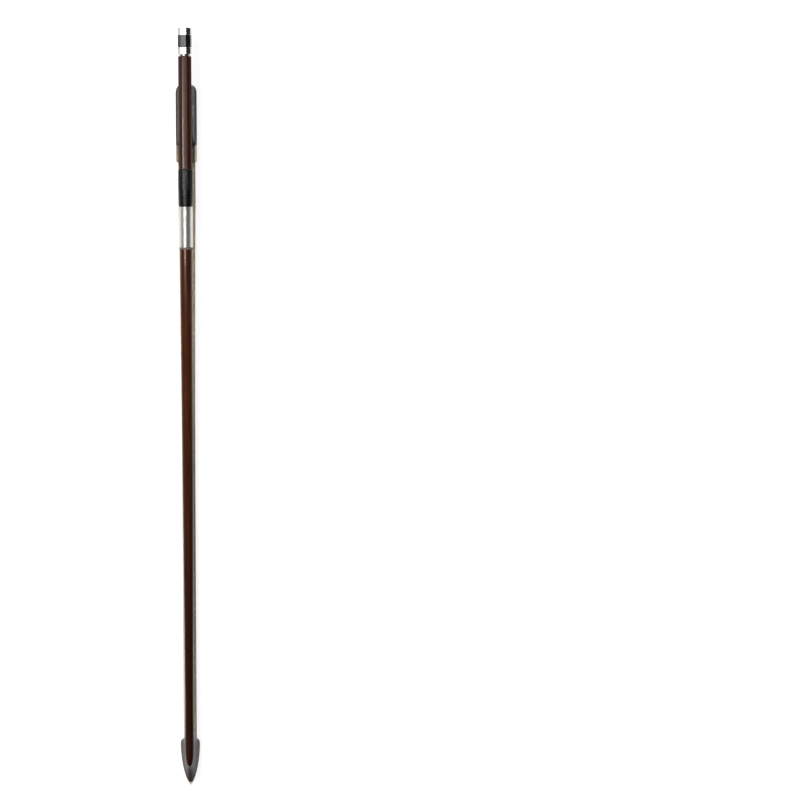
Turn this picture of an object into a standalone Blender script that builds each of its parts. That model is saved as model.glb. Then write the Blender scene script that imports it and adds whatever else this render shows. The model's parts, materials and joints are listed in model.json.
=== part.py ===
"""A double bass bow of the French kind, modelled piece by piece in metres.

X runs from the button to the head, Z up from the hair to the stick. The bow
lies hair side down, with the frog's underside and the face plate's tip on Z = 0.
Distances along the bow are measured from the stick's end at the button.
"""
import math

import bmesh
import bpy
import numpy as np
from mathutils import Matrix, Vector

# Clearances between separate pieces
SEAT_GAP = 0.0003
SEAM_GAP = 0.0002
WRAP_GAP = 0.00015

# Overall: from the stick's button end to the face plate's tip
TIP_X = 0.688

# Stick: octagonal handle, then round and tapering to the head
STICK_SIDES = 32
HANDLE_AXIS_HEIGHT = 0.03225
HANDLE_ACROSS = 0.0125
HANDLE_END_X = 0.104
GRIP_FRONT_DIAMETER = 0.0121
FORE_DIAMETER = 0.01175
MIDDLE_X = 0.58 * TIP_X
MIDDLE_DIAMETER = 0.0104
NECK_DIAMETER = 0.0081
NECK_LENGTH = 0.0345
CAMBER_START_X = 0.185
CAMBER_LOW_X = 0.625 * TIP_X
CAMBER_LOW_HEIGHT = 0.0193
HEAD_AXIS_HEIGHT = 0.0238
SPIGOT_RADIUS = 0.0042
SPIGOT_LENGTH = 0.0031

# Head, seen from above: square back, then a bullet-shaped nose
HEAD_LENGTH = 0.0435
HEAD_BACK_X = TIP_X - HEAD_LENGTH
HEAD_WIDTH = 0.01786
HEAD_SHOULDER = 0.0042
PLATE_OVERHANG = 0.003
WOOD_TIP_X = TIP_X - PLATE_OVERHANG
OUTLINE_SWELL = 1.9
OUTLINE_TAPER = 0.7
RIDGE_DIAMETER = 0.0084
RIDGE_SWELL = 2.8
RIDGE_ROUND_START_X = HEAD_BACK_X + 0.0015
RIDGE_END_X = TIP_X - 0.0173
HEAD_TOP_HALF_WIDTH = 0.0039
NOSE_TOP_X = RIDGE_END_X - 0.0001
NOSE_BLUNTNESS = 0.9
FLANK_HOLLOW = 1.5
THROAT_REACH = 0.018
THROAT_CURVE = 2.2
THROAT_TAPER = 0.012
BACK_ROUNDING = 0.28
FACE_RISE = 0.0021
FACE_CURVE = 1.6
PLATE_THICKNESS = 0.0012
LINER_THICKNESS = 0.0006
HEAD_LEVELS = 11

# Hair pocket in the head
HEAD_POCKET_BACK_X = HEAD_BACK_X + 0.0034
HEAD_POCKET_FRONT_X = HEAD_BACK_X + 0.0155
HEAD_POCKET_WIDTH = 0.0126
HEAD_POCKET_TOP_WIDTH = 0.0098
HEAD_POCKET_TOP = 0.0096
HEAD_PLUG_TOP = 0.0055

# Thumb leather and silver winding
GRIP_START_X = 0.1064
GRIP_END_X = 0.1418
GRIP_BACK_ACROSS = 0.0134
GRIP_FRONT_ACROSS = 0.0131
GRIP_BULGE = 0.0005
GRIP_SOFTNESS = 0.35
WINDING_END_X = 0.1809
WINDING_SEAT_DEPTH = 0.00025
WINDING_LOOPS = 24
LOOP_POINTS = 24
WIRE_DIAMETER = 0.0006
BAND_LENGTH = 0.0013
BAND_DIAMETER = 0.0124

# Screw and button, turned together about the handle's axis
BUTTON_TURN = math.radians(11.0)
BUTTON_ACROSS = 0.0124
CORE_ACROSS = 0.0122
BUTTON_LENGTH = 0.027
REAR_RING_LENGTH = 0.0067
FRONT_RING_LENGTH = 0.0065
COLLAR_LENGTH = 0.0019
COLLAR_RADIUS = 0.0060
COLLAR_WAIST_RADIUS = 0.0056
RING_BORE_RADIUS = 0.0045
BUTTON_CHAMFER = 0.0009
BUTTON_PEARL_RADIUS = 0.0026
BUTTON_PEARL_DEPTH = 0.0012
SCREW_RADIUS = 0.0018
PILOT_RADIUS = 0.0013
SCREW_END_X = 0.078
THREAD_END_X = 0.065
SCREW_TANG_DEPTH = 0.0172

# Frog
FROG_HEEL_X = 0.0268
FROG_WIDTH = 0.0198
FERRULE_BACK_X = 0.0840
FERRULE_FRONT_X = 0.0998
FERRULE_HEIGHT = 0.0115
FERRULE_WALL = 0.00075
FERRULE_CORNER = 0.0054
FERRULE_CHAMFER = 0.00135
RAIL_TOP = HANDLE_AXIS_HEIGHT - 0.00465
RAIL_HALF_WIDTH = HANDLE_ACROSS / 2 + 0.0005
WAIST_HALF_WIDTH = FROG_WIDTH / 2 - 0.0034
HOLLOW_TOP = HANDLE_AXIS_HEIGHT - 0.01475
HOLLOW_BOTTOM = 0.0050
HOLLOW_SWEEP = math.radians(75.0)
HOLLOW_END_X = FERRULE_BACK_X - 0.010
HEEL_CORNER = 0.0043
HEEL_CORNER_LENGTH = 0.0076
HEEL_CURVE_START = HANDLE_AXIS_HEIGHT - 0.01225
HEEL_CURVE_REACH = 0.0036
BOTTOM_CHAMFER = 0.0005
THROAT_DEPTH = 0.0105
THROAT_CEILING = HANDLE_AXIS_HEIGHT - 0.00905
THUMB_TIP_X = FERRULE_BACK_X + 0.0035
TONGUE_BOTTOM = 0.0046
TONGUE_RECESS = 0.0012
CHANNEL_WIDTH = 0.8 * FROG_WIDTH

# Slide and hair pocket in the frog's underside
SLIDE_START_X = 0.040
SLIDE_THICKNESS = 0.0022
SLIDE_WIDTH = 0.6 * FROG_WIDTH
SLIDE_FLARE = 0.0014
PEARL_WIDTH = 0.48 * FROG_WIDTH
PEARL_THICKNESS = 0.0008
PEARL_MARGIN = 0.0018
FROG_POCKET_LENGTH = 0.0114
FROG_POCKET_FRONT_X = FERRULE_BACK_X - 0.0108
FROG_POCKET_BACK_X = FROG_POCKET_FRONT_X - FROG_POCKET_LENGTH
FROG_POCKET_WIDTH = 0.6 * FROG_WIDTH
FROG_POCKET_TOP = 0.0102
FROG_PLUG_TOP = 0.0053

# Eyes on the frog's flanks
EYE_X = 0.0515
EYE_HEIGHT = HANDLE_AXIS_HEIGHT / 2
EYE_RING_RADIUS = 0.0053
EYE_PEARL_RADIUS = 0.0040
EYE_FACE_Y = WAIST_HALF_WIDTH + 0.0004
EYE_DEPTH = 0.0012
EYE_TILT = math.radians(3.0)

# Groove lining and eyelet
LINING_THICKNESS = 0.0004
LINING_PIN_RADIUS = 0.00075
LINING_PIN_DEPTH = 0.0026
LINING_PIN_INSET = 0.0075
LINING_PIN_FRONT_X = FERRULE_BACK_X - 0.007
EYELET_X = 0.0508
EYELET_LENGTH = 0.0080
EYELET_WIDTH = 0.0066
EYELET_TOP_ABOVE_AXIS = 0.0033
EYELET_NECK_BELOW_AXIS = 0.0052
EYELET_SHANK_RADIUS = 0.0022
EYELET_SHANK_DEPTH = 0.0110
FROG_TRAVEL_BACK = 0.0035
FROG_TRAVEL_FORWARD = 0.0021
SLOT_MARGIN = 0.0008

# Hair
HAIR_THICKNESS = 0.0010
HAIR_HEAD_THICKNESS = 0.0009
HAIR_FERRULE_WIDTH = 0.85 * FROG_WIDTH
HAIR_HEAD_WIDTH = 0.0124
HAIR_NARROWING = 2.4
HAIR_LOCKS = 8
HAIR_LOCK_DEPTH = 0.00012
HAIR_HEAD_HEIGHT = 0.00125

EIGHTH_TURN = math.pi / 4
FACET_SLOPE = math.tan(math.pi / 8)
STICK_START = Vector((-(TIP_X - BUTTON_LENGTH) / 2, 0.0, 0.0))


def clear_scene():
    for old in list(bpy.data.objects):
        bpy.data.objects.remove(old, do_unlink=True)


def new_collection(name):
    collection = bpy.data.collections.new(name)
    bpy.context.scene.collection.children.link(collection)
    return collection


def new_material(name, color, roughness, metallic=0.0):
    material = bpy.data.materials.new(name)
    material.use_nodes = True
    shader = material.node_tree.nodes["Principled BSDF"]
    shader.inputs["Base Color"].default_value = (*color, 1.0)
    shader.inputs["Roughness"].default_value = roughness
    shader.inputs["Metallic"].default_value = metallic
    return material


clear_scene()
PARTS = new_collection("double_bass_bow")
CUTTERS = new_collection("cutters")


def new_empty(name, location, turn=0.0):
    empty = bpy.data.objects.new(name, None)
    empty.location = location
    empty.rotation_euler = (turn, 0.0, 0.0)
    empty.empty_display_size = 0.01
    PARTS.objects.link(empty)
    return empty


def new_object(name, data, parent, look=None):
    """A piece of the bow, or a cutter where no look is given."""
    thing = bpy.data.objects.new(name, data)
    thing.parent = parent
    if look is None:
        CUTTERS.objects.link(thing)
        thing.hide_render = True
        thing.display_type = "WIRE"
    else:
        PARTS.objects.link(thing)
        data.materials.append(new_material(name, *look))
    return thing


def mesh_from(name, bm, smooth_angle=0.5):
    bmesh.ops.recalc_face_normals(bm, faces=bm.faces)
    mesh = bpy.data.meshes.new(name)
    bm.to_mesh(mesh)
    bm.free()
    mesh.shade_smooth()
    mesh.set_sharp_from_angle(angle=smooth_angle)
    return mesh


def boolean(target, operation, tool):
    modifier = target.modifiers.new(tool.name, "BOOLEAN")
    modifier.operation = operation
    modifier.solver = "EXACT"
    modifier.object = tool


def loft(name, rings, parent, look=None):
    """A closed solid through rings of as many points each."""
    bm = bmesh.new()
    loops = [[bm.verts.new(point) for point in ring] for ring in rings]
    for low, high in zip(loops, loops[1:]):
        for i in range(len(low)):
            j = (i + 1) % len(low)
            bm.faces.new((low[i], low[j], high[j], high[i]))
    bm.faces.new(loops[0])
    bm.faces.new(loops[-1])
    return new_object(name, mesh_from(name, bm), parent, look)


def sleeve(name, outer_rings, inner_rings, parent, look=None):
    """A tube between an outer and an inner set of rings."""
    bm = bmesh.new()
    outer = [[bm.verts.new(point) for point in ring] for ring in outer_rings]
    inner = [[bm.verts.new(point) for point in ring] for ring in inner_rings]
    loops = outer + inner[::-1]
    for low, high in zip(loops, loops[1:] + loops[:1]):
        for i in range(len(low)):
            j = (i + 1) % len(low)
            bm.faces.new((low[i], low[j], high[j], high[i]))
    return new_object(name, mesh_from(name, bm), parent, look)


def prism(name, outline, axis, start, end, parent, look=None):
    """An outline of (first, second) coordinates, extruded along X, Y or Z."""
    order = {"X": (2, 0, 1), "Y": (0, 2, 1), "Z": (0, 1, 2)}[axis]
    rings = []
    for depth in (start, end):
        rings.append([Vector([(a, b, depth)[i] for i in order]) for a, b in outline])
    return loft(name, rings, parent, look)


def box(name, x, y, z, parent, look=None):
    outline = [(x[0], y[0]), (x[1], y[0]), (x[1], y[1]), (x[0], y[1])]
    return prism(name, outline, "Z", z[0], z[1], parent, look)


def turned(name, profile, location, direction, parent, look=None, steps=32):
    """A profile of (radius, distance) turned about a line along direction.

    The outer side runs from the far end back to the near end.
    """
    bm = bmesh.new()
    corners = [bm.verts.new((radius, 0.0, along)) for radius, along in profile]
    for a, b in zip(corners, corners[1:]):
        bm.edges.new((a, b))
    if profile[0][0] > 0:
        bm.edges.new((corners[-1], corners[0]))
    mesh = bpy.data.meshes.new(name)
    bm.to_mesh(mesh)
    bm.free()
    thing = new_object(name, mesh, parent, look)
    thing.location = location
    thing.rotation_euler = Vector((0, 0, 1)).rotation_difference(Vector(direction)).to_euler()
    screw = thing.modifiers.new("Turn", "SCREW")
    screw.axis = "Z"
    screw.steps = steps
    screw.render_steps = steps
    screw.use_smooth_shade = True
    screw.use_merge_vertices = True
    screw.merge_threshold = 0.00001
    return thing


def rod(name, radius, near, far, location, direction, parent, look=None, steps=24):
    """A plain round rod from one distance to another along direction."""
    profile = [(0.0, far), (radius, far), (radius, near), (0.0, near)]
    return turned(name, profile, location, direction, parent, look, steps)


def arc(center, radii, start, end, steps):
    """Points round an ellipse, its angles in degrees."""
    angles = np.radians(np.linspace(start, end, steps + 1))
    return [(center[0] + radii[0] * math.cos(a), center[1] + radii[1] * math.sin(a)) for a in angles]


def ease(share):
    """A share from 0 to 1 that leaves and arrives level."""
    share = min(max(share, 0.0), 1.0)
    return share * share * (3 - 2 * share)


# The bodies that move: each piece hangs from its body's empty
stick_base = new_empty("stick_base", STICK_START)
frog_base = new_empty("frog_base", STICK_START)
screw_axis = new_empty("screw_axis", STICK_START + Vector((0, 0, HANDLE_AXIS_HEIGHT)), BUTTON_TURN)

# Looks: colour, roughness, metallic
STICK_WOOD = ((0.075, 0.022, 0.014), 0.3)
EBONY = ((0.012, 0.012, 0.013), 0.35)
NICKEL_SILVER = ((0.62, 0.58, 0.52), 0.25, 1.0)
POLISHED_SILVER = ((0.85, 0.84, 0.82), 0.12, 1.0)
SILVER_WIRE = ((0.8, 0.79, 0.78), 0.25, 1.0)
STEEL = ((0.5, 0.5, 0.52), 0.3, 1.0)
BRASS = ((0.7, 0.5, 0.2), 0.3, 1.0)
PEARL = ((0.8, 0.8, 0.76), 0.2)
BONE = ((0.75, 0.66, 0.5), 0.4)
LINER_BLACK = ((0.02, 0.018, 0.016), 0.5)
PALE_WOOD = ((0.5, 0.34, 0.18), 0.6)
LEATHER = ((0.014, 0.013, 0.016), 0.6)
THREAD = ((0.05, 0.03, 0.025), 0.6)
HAIR = ((0.72, 0.65, 0.5), 0.5)


def axis_height(x):
    """Height of the stick's axis: level handle, dip towards the hair, level head."""
    if x < CAMBER_LOW_X:
        share = ease((x - CAMBER_START_X) / (CAMBER_LOW_X - CAMBER_START_X))
        return HANDLE_AXIS_HEIGHT + (CAMBER_LOW_HEIGHT - HANDLE_AXIS_HEIGHT) * share
    share = ease((x - CAMBER_LOW_X) / (HEAD_BACK_X - CAMBER_LOW_X))
    return CAMBER_LOW_HEIGHT + (HEAD_AXIS_HEIGHT - CAMBER_LOW_HEIGHT) * share


def stick_across(x):
    """The stick's width, without the shallow seat for the winding."""
    neck = HEAD_BACK_X - NECK_LENGTH
    places = (HANDLE_END_X, GRIP_END_X, WINDING_END_X, MIDDLE_X, neck, HEAD_BACK_X)
    widths = (
        HANDLE_ACROSS,
        GRIP_FRONT_DIAMETER,
        FORE_DIAMETER,
        MIDDLE_DIAMETER,
        NECK_DIAMETER,
        RIDGE_DIAMETER,
    )
    return float(np.interp(x, places, widths))


def stick_roundness(x):
    """0 on the octagonal handle, 1 where the stick is round."""
    return ease((x - GRIP_START_X) / (GRIP_END_X - GRIP_START_X))


def section_radius(angle, across, roundness):
    """Radius of an octagon with a flat on top, eased towards a circle."""
    from_flat = (angle + EIGHTH_TURN / 2) % EIGHTH_TURN - EIGHTH_TURN / 2
    octagon = across / 2 / math.cos(from_flat)
    return octagon + (across / 2 - octagon) * roundness


def stick_ring(x, across, roundness, height=None):
    """One ring of points round the stick's axis."""
    ring = []
    for i in range(STICK_SIDES):
        angle = 2 * math.pi * i / STICK_SIDES
        radius = section_radius(angle, across, roundness)
        centre = axis_height(x) if height is None else height
        ring.append(Vector((x, radius * math.cos(angle), centre + radius * math.sin(angle))))
    return ring


def face_height(x):
    """Height of the face plate's underside: hollow, lowest at its tip."""
    share = max(x - HEAD_BACK_X, 0.0) / (TIP_X - HEAD_BACK_X)
    return FACE_RISE * (1 - share**FACE_CURVE)


def slice_points(half_width, back, corner, nose, point, swell=OUTLINE_SWELL, taper=OUTLINE_TAPER, steps=7):
    """(x, half width) down one side of a level slice through the head.

    The back corner is a quarter ellipse and the sides run in a curve towards
    point, cut off at nose.
    """
    side = []
    for i in range(steps):
        turn = math.pi / 2 * i / (steps - 1)
        side.append((back + corner * (1 - math.cos(turn)), half_width * (1 - BACK_ROUNDING * (1 - math.sin(turn)))))
    widest = side[-1][0]
    for i in range(1, 2 * steps):
        x = widest + (nose - widest) * i / (2 * steps - 1)
        share = (x - widest) / (point - widest)
        side.append((x, half_width * (1 - share**swell) ** taper))
    side[-1] = (nose, side[-1][1] * 0.6)
    return side


def slab(name, sides, heights, parent, look=None):
    """A stack of symmetric slices, closed below and above by strips."""
    bm = bmesh.new()
    layers = []
    for side, height in zip(sides, heights):
        left = [bm.verts.new((x, half, height(x))) for x, half in side]
        right = [bm.verts.new((x, -half, height(x))) for x, half in side]
        layers.append((left, right))
    for left, right in (layers[0], layers[-1]):
        for i in range(len(left) - 1):
            bm.faces.new((left[i], left[i + 1], right[i + 1], right[i]))
    for (left, right), (left_up, right_up) in zip(layers, layers[1:]):
        for i in range(len(left) - 1):
            bm.faces.new((left[i], left[i + 1], left_up[i + 1], left_up[i]))
            bm.faces.new((right[i], right[i + 1], right_up[i + 1], right_up[i]))
        bm.faces.new((left[0], right[0], right_up[0], left_up[0]))
        bm.faces.new((left[-1], right[-1], right_up[-1], left_up[-1]))
    return new_object(name, mesh_from(name, bm), parent, look)


def plate_top(x):
    return face_height(x) + PLATE_THICKNESS


def liner_low(x):
    return plate_top(x) + SEAM_GAP


def liner_top(x):
    return liner_low(x) + LINER_THICKNESS


def wood_face(x):
    """Height of the head's wooden face, above plate and liner."""
    return liner_top(x) + SEAM_GAP


def head_block():
    """The carved head below the ridge, as level slices from face to axis."""
    sides = []
    heights = []
    for i in range(HEAD_LEVELS):
        rise = i / (HEAD_LEVELS - 1)
        flare = (1 - rise) ** FLANK_HOLLOW
        half = HEAD_TOP_HALF_WIDTH + (HEAD_WIDTH / 2 - HEAD_TOP_HALF_WIDTH) * flare
        back = HEAD_BACK_X - THROAT_REACH * rise**THROAT_CURVE
        corner = HEAD_SHOULDER + THROAT_TAPER * rise**FLANK_HOLLOW
        nose = NOSE_TOP_X + (WOOD_TIP_X - NOSE_TOP_X) * flare
        blunt = rise * rise
        swell = OUTLINE_SWELL + (RIDGE_SWELL - OUTLINE_SWELL) * blunt
        taper = OUTLINE_TAPER + (1 / RIDGE_SWELL - OUTLINE_TAPER) * blunt
        point = nose + PLATE_OVERHANG * (1 - NOSE_BLUNTNESS * blunt)
        sides.append(slice_points(half, back, corner, nose, point, swell, taper))
        heights.append(lambda x, rise=rise: wood_face(x) * (1 - rise) + HEAD_AXIS_HEIGHT * rise)
    return slab("head_block", sides, heights, stick_base)


def head_pocket(name, bottom, top, margin=0.0):
    """Tapered pocket that takes the hair's knot and its plug."""
    low = HEAD_POCKET_WIDTH / 2 - margin
    high = HEAD_POCKET_TOP_WIDTH / 2 - margin
    rings = []
    for half, height in ((low, bottom), (high, top)):
        rings.append(
            [
                Vector((x, y, height))
                for x, y in (
                    (HEAD_POCKET_BACK_X, -half),
                    (HEAD_POCKET_FRONT_X, -half),
                    (HEAD_POCKET_FRONT_X, half),
                    (HEAD_POCKET_BACK_X, half),
                )
            ]
        )
    return loft(name, rings, stick_base)


def make_stick():
    """The wooden stick: spigot, octagonal handle, tapering shaft, ridge and head."""
    rings = [
        stick_ring(-SPIGOT_LENGTH, 2 * SPIGOT_RADIUS, 1.0),
        stick_ring(0.0, 2 * SPIGOT_RADIUS, 1.0),
        stick_ring(0.0, HANDLE_ACROSS, 0.0),
    ]
    seat_start = GRIP_END_X - 2 * WIRE_DIAMETER
    seat_end = WINDING_END_X - SEAM_GAP
    steps = list(np.linspace(GRIP_START_X, seat_start, 5))
    handle = [HANDLE_END_X] + steps
    rings += [stick_ring(x, stick_across(x), stick_roundness(x)) for x in handle]
    seat = np.linspace(seat_start + SEAM_GAP, seat_end - SEAM_GAP, 4)
    rings += [stick_ring(x, stick_across(x) - 2 * WINDING_SEAT_DEPTH, 1.0) for x in seat]
    shaft = np.linspace(seat_end, HEAD_BACK_X, 26)
    rings += [stick_ring(x, stick_across(x), 1.0) for x in shaft]
    for turn in np.radians(np.linspace(0, 87, 10)):
        x = RIDGE_ROUND_START_X + (RIDGE_END_X - RIDGE_ROUND_START_X) * math.sin(turn) ** (2 / RIDGE_SWELL)
        across = RIDGE_DIAMETER * math.cos(turn) ** (2 / RIDGE_SWELL)
        rings.append(stick_ring(x, across, 1.0, HEAD_AXIS_HEIGHT))
    stick = loft("stick", rings, stick_base, STICK_WOOD)
    boolean(stick, "UNION", head_block())
    boolean(stick, "DIFFERENCE", head_pocket("head_pocket", 0.0, HEAD_POCKET_TOP))

    bore = SCREW_RADIUS + 2 * SEAT_GAP
    pilot = PILOT_RADIUS + SEAT_GAP
    profile = [
        (0.0, SCREW_END_X + SEAT_GAP),
        (pilot, SCREW_END_X + SEAT_GAP),
        (pilot, THREAD_END_X + 2 * SEAT_GAP + bore),
        (bore, THREAD_END_X + 2 * SEAT_GAP),
        (bore, -2 * SPIGOT_LENGTH),
        (0.0, -2 * SPIGOT_LENGTH),
    ]
    centre = (0.0, 0.0, HANDLE_AXIS_HEIGHT)
    boolean(stick, "DIFFERENCE", turned("screw_bore", profile, centre, (1, 0, 0), stick_base, steps=24))

    half = EYELET_WIDTH / 2 + SEAT_GAP
    slot_x = (
        EYELET_X - EYELET_LENGTH / 2 - FROG_TRAVEL_BACK - SLOT_MARGIN,
        EYELET_X + EYELET_LENGTH / 2 + FROG_TRAVEL_FORWARD + SLOT_MARGIN,
    )
    slot_z = (
        HANDLE_AXIS_HEIGHT - HANDLE_ACROSS,
        HANDLE_AXIS_HEIGHT + EYELET_TOP_ABOVE_AXIS + 2 * SEAT_GAP,
    )
    boolean(stick, "DIFFERENCE", box("eyelet_slot", slot_x, (-half, half), slot_z, stick_base))


def make_head_fittings():
    """Liner, face plate, plug and the hair's bound end in the head."""
    half = HEAD_WIDTH / 2
    liner_side = slice_points(half, HEAD_BACK_X, HEAD_SHOULDER, WOOD_TIP_X, TIP_X)
    plate_side = slice_points(half, HEAD_BACK_X, HEAD_SHOULDER, TIP_X - SEAM_GAP, TIP_X)
    plate_side[-1] = (TIP_X, plate_side[-1][1])
    liner = slab("head_liner", [liner_side] * 2, [liner_low, liner_top], stick_base, LINER_BLACK)
    plate = slab("face_plate", [plate_side] * 2, [face_height, plate_top], stick_base, BONE)
    mouth = head_pocket("plate_mouth", -PLATE_THICKNESS, HEAD_POCKET_TOP)
    boolean(liner, "DIFFERENCE", mouth)
    boolean(plate, "DIFFERENCE", mouth)

    plug_back = HEAD_POCKET_BACK_X + 2 * HAIR_THICKNESS + HEAD_POCKET_TOP / 3
    plug_x = (plug_back, HEAD_POCKET_FRONT_X - SEAT_GAP)
    plug_half = HEAD_POCKET_TOP_WIDTH / 2
    plug_z = (face_height(plug_back) + SEAT_GAP, HEAD_PLUG_TOP)
    box("head_plug", plug_x, (-plug_half, plug_half), plug_z, stick_base, PALE_WOOD)


def knot(name, start, end, half_width, low, high, parent):
    """A flat bundle of hair bound with thread, as a row of round turns."""
    turns = 4
    steps = 4 * turns
    rings = []
    for i in range(steps + 1):
        share = i / steps
        swell = 1 - 0.07 * (1 + math.cos(2 * math.pi * turns * share)) / 2
        x = start + (end - start) * share
        rings.append(
            [
                Vector((x, half_width * swell * y, (low + high) / 2 + (high - low) / 2 * swell * z))
                for y, z in arc((0, 0), (1, 1), 0, 330, 11)
            ]
        )
    loft(name, rings, parent, THREAD)


def make_knots():
    head_back = HEAD_POCKET_BACK_X + 2 * HAIR_THICKNESS + HEAD_POCKET_TOP / 3
    knot(
        "hair_knot_head",
        head_back + SEAT_GAP,
        HEAD_POCKET_FRONT_X - SEAT_GAP,
        HEAD_POCKET_TOP_WIDTH / 2 - SEAT_GAP,
        HEAD_PLUG_TOP + SEAT_GAP,
        HEAD_POCKET_TOP - SEAT_GAP,
        stick_base,
    )
    knot(
        "hair_knot_frog",
        FROG_POCKET_BACK_X + SEAT_GAP,
        FROG_POCKET_FRONT_X - 3 * HAIR_THICKNESS - 2 * SEAT_GAP,
        FROG_POCKET_WIDTH / 2 - 2 * SEAT_GAP,
        FROG_PLUG_TOP + SEAT_GAP,
        FROG_POCKET_TOP - SEAT_GAP,
        frog_base,
    )


def make_grip():
    """Leather sleeve, fuller at its middle than at its edges."""
    outer = []
    inner = []
    for share in np.linspace(0, 1, 9):
        x = GRIP_START_X + (GRIP_END_X - GRIP_START_X) * share
        across = GRIP_BACK_ACROSS + (GRIP_FRONT_ACROSS - GRIP_BACK_ACROSS) * share
        across += GRIP_BULGE * math.sin(math.pi * share)
        roundness = max(stick_roundness(x), GRIP_SOFTNESS)
        outer.append(stick_ring(x, across, roundness))
        inner.append(stick_ring(x, stick_across(x) + 2 * WRAP_GAP, stick_roundness(x)))
    sleeve("grip_leather", outer, inner, stick_base, LEATHER)


def winding_points():
    """Centre line of the wire: loops along the stick, with short straight ends."""
    run = WIRE_DIAMETER
    first = GRIP_END_X + SEAM_GAP
    last = WINDING_END_X - SEAM_GAP
    start = first + 1.5 * run
    end = last - 1.5 * run
    points = []
    count = WINDING_LOOPS * LOOP_POINTS
    for i in range(count + 1):
        x = start + (end - start) * i / count
        angle = 2 * math.pi * i / LOOP_POINTS - math.pi / 2
        radius = stick_across(x) / 2 - WINDING_SEAT_DEPTH + WRAP_GAP + WIRE_DIAMETER / 2
        points.append(
            Vector((x, radius * math.cos(angle), axis_height(x) + radius * math.sin(angle)))
        )
    lead_in = points[0].copy()
    lead_in.x = first
    lead_out = points[-1].copy()
    lead_out.x = last
    return [lead_in] + points + [lead_out]


def least_gap(points, diameter):
    """Smallest clear distance between parts of the wire half a loop or more apart."""
    line = np.array([tuple(point) for point in points])
    least = math.inf
    for i in range(len(line) - LOOP_POINTS // 2):
        others = line[i + LOOP_POINTS // 2:]
        least = min(least, float(np.linalg.norm(others - line[i], axis=1).min()))
    return least - diameter


def make_winding():
    points = winding_points()
    curve = bpy.data.curves.new("winding", "CURVE")
    curve.dimensions = "3D"
    curve.bevel_depth = WIRE_DIAMETER / 2
    curve.bevel_resolution = 1
    curve.use_fill_caps = True
    spline = curve.splines.new("POLY")
    spline.points.add(len(points) - 1)
    for target, point in zip(spline.points, points):
        target.co = (*point, 1.0)
    new_object("winding", curve, stick_base, SILVER_WIRE)
    print("winding: least gap to itself", round(least_gap(points, WIRE_DIAMETER) * 1000, 3), "mm")

    radius = BAND_DIAMETER / 2
    bore = stick_across(WINDING_END_X) / 2 + WRAP_GAP
    edge = (radius - bore) / 3
    profile = [
        (bore, BAND_LENGTH),
        (radius - edge, BAND_LENGTH),
        (radius, BAND_LENGTH - edge),
        (radius, edge),
        (radius - edge, 0.0),
        (bore, 0.0),
    ]
    place = (WINDING_END_X, 0.0, HANDLE_AXIS_HEIGHT)
    turned("winding_end_band", profile, place, (1, 0, 0), stick_base, THREAD)


def octagon_bar(name, across, start, end, parent, look=None):
    """An octagonal bar along X with a flat on top."""
    radius = across / 2 / math.cos(EIGHTH_TURN / 2)
    outline = arc((0, 0), (radius, radius), 22.5, 337.5, 7)
    return prism(name, outline, "X", start, end, parent, look)


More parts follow.
